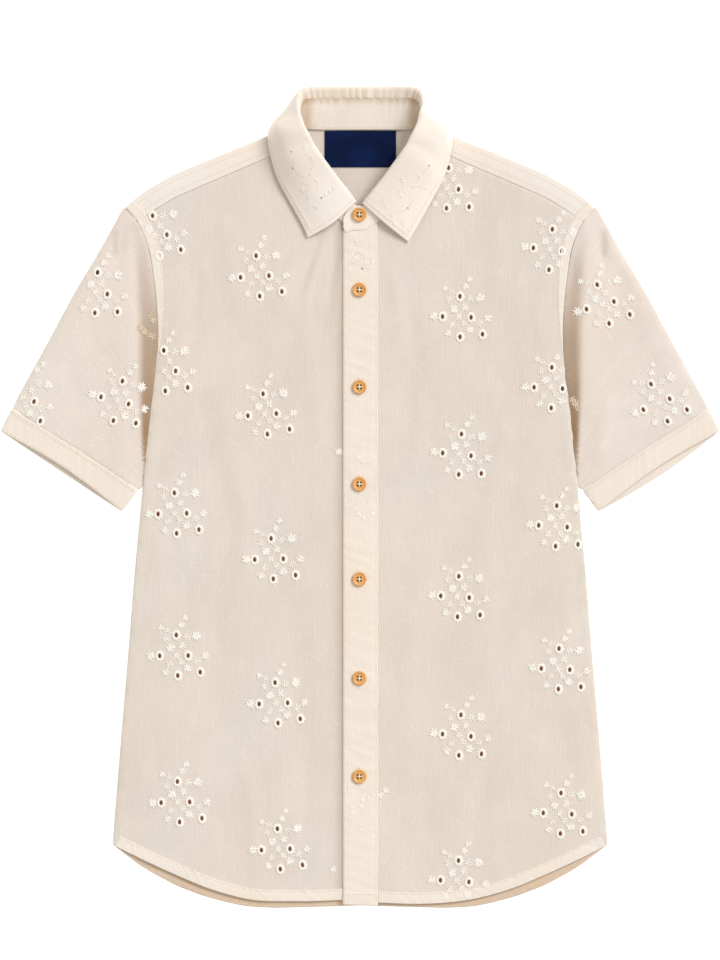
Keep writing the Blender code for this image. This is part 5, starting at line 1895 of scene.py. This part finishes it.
# Placket, buttons and label
@dataclass
class Placket:
    """The strip of the front edge, folded at its outer side and stitched down."""

    finishes: Finishes
    half: float = 17.5
    top: float = 266.6 + ORIGIN_Y
    bottom: float = -405.0 + ORIGIN_Y
    face: float = 7.1
    wall: float = 0.95
    hem: float = 11.0
    fold: float = 16.1
    drop: float = 1.9

    def height(self, x: np.ndarray, y: np.ndarray) -> np.ndarray:
        """The placket's face: puckered along both stitched edges, fuller at its folded one."""
        edge = np.minimum(self.half - x, self.half + x)
        tight = bell(edge - 3.0, 3.5)
        side = np.where(x < 0, 1.0, 2.0)
        ripple = 0.26 * tight * rippled(y + 0.25 * x, side * 2.2, 9.5)
        roll = 0.30 * soft(0, 5, edge) - 0.22 * bell(edge - 3.2, 0.9)
        bent = np.clip((-self.fold - x) / (self.half - self.fold), 0, 0.98)
        roll = roll - self.drop * (1 - np.sqrt(1 - bent**2))
        slow = 0.38 * rippled(y - 0.25 * x, 9.0, 34.0) + 0.24 * rippled(y + 0.35 * x, 4.0, 14.0)
        slow = slow * soft(0, 7, edge)
        turned = 0.8 * (1 - soft(self.hem - 0.8, self.hem + 0.8, y - self.bottom))
        return self.face - 0.3 + roll + ripple + slow + turned

    def build(self) -> bpy.types.Object:
        """Makes the placket's cloth."""
        xs = edged_stations(2 * self.half, 1.9, 2.1) - self.half
        ys = edged_stations(self.top - self.bottom, 2.2, 0.8) + self.bottom
        y, x = np.meshgrid(ys, xs, indexing="ij")
        rise = (1.8 + 0.78 * np.maximum(0, x - 3)) * soft(-40, 0, y - self.top)
        y = y + rise - 0.5 * (1 - soft(0, 30, y - self.bottom)) * (x / self.half + 1)
        z = self.height(x, y) - self.wall / 2
        form = Form()
        pillow(form, np.stack([x, y, z], axis=2)[:, ::-1], self.wall)
        made = form.build("cloth_placket", self.finishes.double, "double_cloth")
        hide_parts("front_placket")
        thread = Form()
        places = np.linspace(self.top - 1, self.bottom + 1, 320)
        sides = (-self.half + 1.5, self.half - 1.6)
        rows = [np.column_stack([np.full(320, place), places]) for place in sides]
        level_row = np.full(20, self.bottom + self.hem - 1.2)
        rows.append(np.column_stack([np.linspace(-self.half + 2, self.half - 2, 20), level_row]))
        for row in rows:
            sew(thread, draped(row, self.height, -0.02), 2.4, 0.9)
        carried = [thread.build("seams_placket", self.finishes.seam, "double_cloth")]
        face = np.stack([x, y, self.height(x, y)], axis=2)
        marks = Traces(face, PLACKET_STARS, PLACKET_PINHOLES, PLACKET_VINES, 8)
        carried += marks.build("placket", self.finishes)
        return made


@dataclass
class Label:
    """The bare satin label on the yoke's inner side."""

    finishes: Finishes
    half: float = 35.7
    top: float = 368.0 + ORIGIN_Y
    bottom: float = 331.6 + ORIGIN_Y
    face: float = 2.1
    wall: float = 0.5

    def height(self, x: np.ndarray, y: np.ndarray) -> np.ndarray:
        """The label's face: a little slack between its stitched edges."""
        edge = np.minimum(self.half - np.abs(x), np.minimum(self.top - y, y - self.bottom))
        slack = 0.25 * soft(0, 12, edge) * np.sin(x / 13 + y / 21)
        return self.face + slack - 0.12 * bell(edge - 1.6, 0.7)

    def build(self) -> bpy.types.Object:
        """Makes the label."""
        xs = edged_stations(2 * self.half, 2.0, 0.6) - self.half
        ys = edged_stations(self.top - self.bottom, 2.0, 0.6) + self.bottom
        y, x = np.meshgrid(ys, xs, indexing="ij")
        form = Form()
        pillow(form, np.stack([x, y, self.height(x, y) - self.wall / 2], axis=2)[:, ::-1], self.wall, 0.6)
        made = form.build("satin_label", self.finishes.label, "label_satin")
        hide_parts("neck_label")
        return made


@dataclass(frozen=True)
class Button:
    """One coconut button: its place and how far it leans back, sewn on with a cross of thread.

    The profile gives the radius and the height of its turned face, from the middle out.
    """

    node: str
    x: float
    y: float
    z: float
    lean: float = 0.0
    profile: tuple[tuple[float, float], ...] = (
        (0.0, 0.62), (2.6, 0.62), (3.5, 0.60), (4.0, 0.36), (4.4, 0.38), (4.85, 0.76), (5.4, 1.08),
        (6.0, 1.25), (6.5, 1.18), (6.9, 0.9), (7.15, 0.4), (7.1, -0.3), (6.4, -1.0), (5.4, -1.3),
        (0.0, -1.3),
    )
    holes: float = 2.15
    drill: float = 1.08
    arm: float = 2.4

    def shaped(self) -> bpy.types.Mesh:
        """The button's mesh, turned and drilled, round its own middle."""
        sides = 56
        angle = math.tau * np.arange(sides) / sides
        around = np.column_stack([np.cos(angle), np.sin(angle)])
        rows = [np.column_stack([r * around, np.full(sides, z)]) for r, z in self.profile[1:-1]]
        count = len(rows)
        points = np.concatenate([*rows, [(0, 0, self.profile[0][1]), (0, 0, self.profile[-1][1])]])
        index = np.arange(count * sides).reshape(count, sides)
        index = np.concatenate([index, index[:, :1]], axis=1)
        faces = grid_faces(index).tolist()
        faces += [(count * sides, int(index[0, k]), int(index[0, k + 1])) for k in range(sides)]
        faces += [(count * sides + 1, int(index[-1, k + 1]), int(index[-1, k])) for k in range(sides)]
        body = bpy.data.meshes.new("button_body")
        body.from_pydata(points.tolist(), [], faces)
        turned = bpy.data.objects.new("button_body", body)
        bits = bmesh.new()
        for k in range(4):
            turn = math.pi * (k + 0.5) / 2
            place = Matrix.Translation((self.holes * math.cos(turn), self.holes * math.sin(turn), 2.2))
            bmesh.ops.create_cone(
                bits, cap_ends=True, segments=14, radius1=self.drill, radius2=self.drill, depth=6, matrix=place
            )
        cutter_mesh = bpy.data.meshes.new("button_drill")
        bits.to_mesh(cutter_mesh)
        bits.free()
        cutter = bpy.data.objects.new("button_drill", cutter_mesh)
        for made in (turned, cutter):
            bpy.context.scene.collection.objects.link(made)
        cut = turned.modifiers.new("holes", "BOOLEAN")
        cut.operation = "DIFFERENCE"
        cut.object = cutter
        bpy.context.view_layer.update()
        result = bpy.data.meshes.new_from_object(turned.evaluated_get(bpy.context.evaluated_depsgraph_get()))
        for made in (turned, cutter):
            bpy.data.objects.remove(made)
        return result

    def placed(self, points: np.ndarray) -> np.ndarray:
        """Points of the button's own frame in the shirt's."""
        turned = rotated(points[:, 1], points[:, 2], math.degrees(self.lean))
        return np.column_stack([points[:, 0], turned]) + (self.x, self.y, self.z)

    def build(self, shape: bpy.types.Mesh, finishes: Finishes) -> bpy.types.Object:
        """Makes the button and its thread.

        Args:
            shape: The drilled mesh.
            finishes: The shirt's finishes.

        Returns:
            The button.
        """
        co = np.empty(len(shape.vertices) * 3)
        shape.vertices.foreach_get("co", co)
        shape.calc_loop_triangles()
        faces = np.empty(len(shape.loop_triangles) * 3, np.int32)
        shape.loop_triangles.foreach_get("vertices", faces)
        form = Form()
        co = co.reshape(-1, 3)
        # Painted shade: points down in the drilled holes take the shell's dark hole colour.
        painted_hole_shade = (co[:, 2] < 0.5) & (np.hypot(co[:, 0], co[:, 1]) < 3.4)
        form.add(self.placed(co), faces.reshape(-1, 3), tone=painted_hole_shade.astype(float))
        made = form.build(f"shell_{self.node}", finishes.coconut, "coconut_shell")
        made.data.set_sharp_from_angle(angle=math.radians(42))
        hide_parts(self.node)
        thread = Form()
        share = np.linspace(-1, 1, 7)
        for turn in (0, 90):
            for aside in (-0.28, 0.28):
                rise = 0.66 + 0.5 * (1 - share**2) + 0.14 * turn / 90
                line = np.column_stack([rotated(share * self.arm, aside, turn), rise])
                threads(thread, self.placed(line)[None], 0.8, 0.4, np.array([0.3, 0.8, 1, 1, 1, 0.8, 0.3]))
        thread.build(f"thread_{self.node}", finishes.button_thread, "coconut_shell")
        return made


@dataclass
class Buttonhole:
    """A buttonhole: a slit between two rows of close stitches, with bars at its ends."""

    x: float
    y: float
    height: Height
    length: float = 17.5

    def add(self, form: Form) -> None:
        """Adds the stitches to a form."""
        stations = np.arange(-self.length / 2, self.length / 2, 0.62)
        for side in (-1, 1):
            x, y = np.broadcast_arrays(np.linspace(side * 0.25, side * 1.35, 4), stations[:, None])
            self.row(form, x, y, 0.58)
        for end in (-1, 1):
            for step in (0.0, 0.5, 1.0):
                y = np.full((1, 4), end * (self.length / 2 + step))
                self.row(form, np.linspace(-1.4, 1.4, 4)[None], y, 0.6)

    def row(self, form: Form, x: np.ndarray, y: np.ndarray, width: float) -> None:
        """Adds stitches at places of the buttonhole's own frame."""
        plan = np.stack([x + self.x, y + self.y], axis=-1)
        threads(form, draped(plan, self.height), width, 0.3, STITCH)


@dataclass(frozen=True)
class Studio:
    """The white floor, the lights and the camera of the photo."""

    width: int = 720
    height: int = 960
    distance: float = 6.0
    centre: tuple[float, float] = (-0.0003, 0.0174)

    def floor(self) -> None:
        """A bright white floor."""
        bench = NodeBench("white_floor")
        bench.set(Base_Color=(0.95, 0.95, 0.95, 1), Roughness=0.9)
        bench.set(Emission_Color=(1, 1, 1, 1), Emission_Strength=0.55)
        bpy.ops.mesh.primitive_plane_add(size=8, location=(0, 0, -0.0004))
        made = bpy.context.object
        made.name = "floor"
        made.data.materials.append(bench.material)

    def lights(self) -> None:
        """A soft main light from the upper right, and even fill from all round."""
        world = bpy.data.worlds.new("studio")
        world.use_nodes = True
        world.node_tree.nodes["Background"].inputs["Color"].default_value = (1.0, 0.965, 0.9, 1)
        world.node_tree.nodes["Background"].inputs["Strength"].default_value = 0.62
        bpy.context.scene.world = world
        light = bpy.data.lights.new("main_light", "SUN")
        light.energy = 1.98
        light.color = (0.985, 1.0, 1.04)
        light.angle = math.radians(24)
        sun = bpy.data.objects.new("main_light", light)
        sun.rotation_euler = Vector((1.0, 0.9, 1.15)).to_track_quat("Z", "Y").to_euler()
        bpy.context.scene.collection.objects.link(sun)

    def camera(self) -> None:
        """The camera of the photo, looking straight down from far."""
        data = bpy.data.cameras.new("camera")
        data.sensor_width = 36
        data.lens = data.sensor_width * self.distance / (max(self.width, self.height) * MM)
        made = bpy.data.objects.new("camera", data)
        made.location = (*self.centre, self.distance)
        bpy.context.scene.collection.objects.link(made)
        bpy.context.scene.camera = made
        bpy.context.scene.view_settings.view_transform = "Standard"


# Creases, each as a Crease's fields in their order
FRONT_CREASES = {
    Side.RIGHT: (
        (-24, 272, -98, 80, 3.6, -1.1, 3), (-30, 268, -106, 95, 4.2, 1.2, -4),
        (-38, 268, -112, 80, 4.0, -0.9, 2), (-46, 266, -118, 90, 5.5, 0.9, -3),
        (-20, 240, -95, 80, 3.4, 0.8, 0), (-62, 205, -84, 190, 11.0, 0.8, 6),
        (-140, 300, -78, 150, 9.0, 0.7, -5), (-168, 250, -92, 140, 8.0, -0.8, 5),
        (-150, 120, -80, 230, 12.0, 0.9, 8), (-120, 20, -97, 210, 13.0, -0.7, -7),
        (-60, -30, -86, 240, 12.0, 0.7, 5), (-205, 120, -97, 150, 8.0, 0.8, 4),
        (-214, -10, -96, 170, 9.0, -0.6, 4), (-50, -230, -92, 150, 9.0, -0.6, -4),
        (-120, -250, -83, 130, 10.0, 0.8, 4), (-205, -200, -98, 140, 10.0, 0.7, -3),
    ),
    Side.LEFT: (
        (30, 240, -84, 110, 6.0, 0.6, 3), (45, 235, -80, 150, 8.0, -0.5, -4),
        (62, 195, -94, 200, 11.0, 0.7, 6), (140, 300, -98, 150, 9.0, 0.7, 4),
        (172, 248, -88, 150, 8.0, -0.7, -5), (150, 110, -95, 240, 12.0, 0.8, -7),
        (122, 10, -84, 220, 12.0, -0.7, 6), (60, -40, -93, 220, 11.0, 0.7, -5),
        (208, 118, -84, 150, 8.0, 0.8, -4), (216, -20, -86, 180, 9.0, -0.6, -4),
        (45, -220, -88, 160, 10.0, 0.6, 4), (125, -245, -97, 130, 10.0, -0.7, 3),
        (210, -190, -82, 150, 10.0, 0.8, 3),
    ),
}
SLEEVE_CREASES = {
    Side.RIGHT: (
        (-238, 278, -98, 60, 5.0, -1.1, 2), (-247, 262, -112, 90, 8.0, 0.9, -4),
        (-275, 200, -118, 110, 10.0, 0.7, 5), (-300, 140, -70, 70, 8.0, -0.6, 3),
        (-250, 120, -82, 90, 8.0, 0.8, 3), (-320, 100, -125, 40, 6.0, 0.5, 0),
    ),
    Side.LEFT: (
        (238, 278, -82, 60, 5.0, -0.9, -2), (248, 262, -68, 90, 8.0, 0.9, 4),
        (276, 200, -62, 110, 10.0, 0.7, -5), (298, 145, -110, 70, 8.0, -0.6, -3),
        (252, 118, -98, 90, 8.0, 0.8, -3), (322, 98, -55, 40, 6.0, 0.5, 0),
    ),
}


@dataclass
class Shirt:
    """The whole shirt, piece by piece."""

    finishes: Finishes = field(default_factory=Finishes.make)
    button_x: float = -0.9
    button_heights: tuple[float, ...] = (209.0, 112.0, 15.0, -80.0, -179.0, -277.0)
    collar_button: float = 284.0
    front_loose: tuple[tuple[float, float, int], ...] = ((-22.3, 47.0, 1), (-27.3, -370.0, 2))
    sleeve_loose: dict[Side, tuple[tuple[float, float, int], ...]] = field(
        default_factory=lambda: {
            Side.RIGHT: (
                (-210.5, 182.3, 3), (-207.5, 178.5, 2), (-219.8, 171.0, 0), (-215.8, 167.0, 1),
                (-211.3, 163.8, 3), (-207.2, 162.5, 4),
            ),
            Side.LEFT: ((212.0, 99.0, 0), (214.5, 95.0, 1), (216.5, 90.0, 3)),
        }
    )

    def buttons(self, placket: Placket) -> None:
        """Builds the buttons and their buttonholes."""
        rest = 1.45
        heights = enumerate(self.button_heights, 1)
        places = [Button(f"button_{k}", self.button_x, y + ORIGIN_Y, placket.face + rest) for k, y in heights]
        (_, foot_y, foot_z), (_, seam_y, seam_z) = Collar.sections[-1][:2]
        slope = math.atan2(seam_z - foot_z, seam_y - foot_y)
        half_wall = 0.8
        rise = (self.collar_button - foot_y) * math.tan(slope) + half_wall / math.cos(slope)
        top = foot_z + Collar.lap + rise
        collar_y = self.collar_button + ORIGIN_Y
        places.append(Button("button_collar", self.button_x, collar_y, top + rest, slope))
        shape = places[0].shaped()
        form = Form()
        for button in places[:-1]:
            Buttonhole(button.x, button.y - 0.3, placket.height).add(form)
        form.build("buttonholes", self.finishes.tonal, "double_cloth")
        for button in places:
            button.build(shape, self.finishes)

    def build(self) -> None:
        """Builds every piece."""
        Back(self.finishes).build()
        for side in Side:
            loose = self.front_loose if side is Side.RIGHT else ((20.2, -296.5, 2), (25.0, -291.5, 0))
            creases = [Crease(*row) for row in FRONT_CREASES[side]]
            folds = [Crease(*row) for row in SLEEVE_CREASES[side]]
            Front(side, self.finishes, creases, loose).build()
            Sleeve(side, self.finishes, folds, self.sleeve_loose[side]).build()
            Band(side, self.finishes).build()
        Yoke(self.finishes).build()
        collar = Collar(self.finishes)
        collar.stand()
        collar.leaf()
        placket = Placket(self.finishes)
        placket.build()
        Label(self.finishes).build()
        self.buttons(placket)


def main() -> None:
    """Builds the scene."""
    logging.basicConfig(level=logging.INFO, format="%(message)s")
    Shirt().build()
    studio = Studio()
    studio.floor()
    studio.lights()
    studio.camera()


if __name__ == "__main__":
    main()
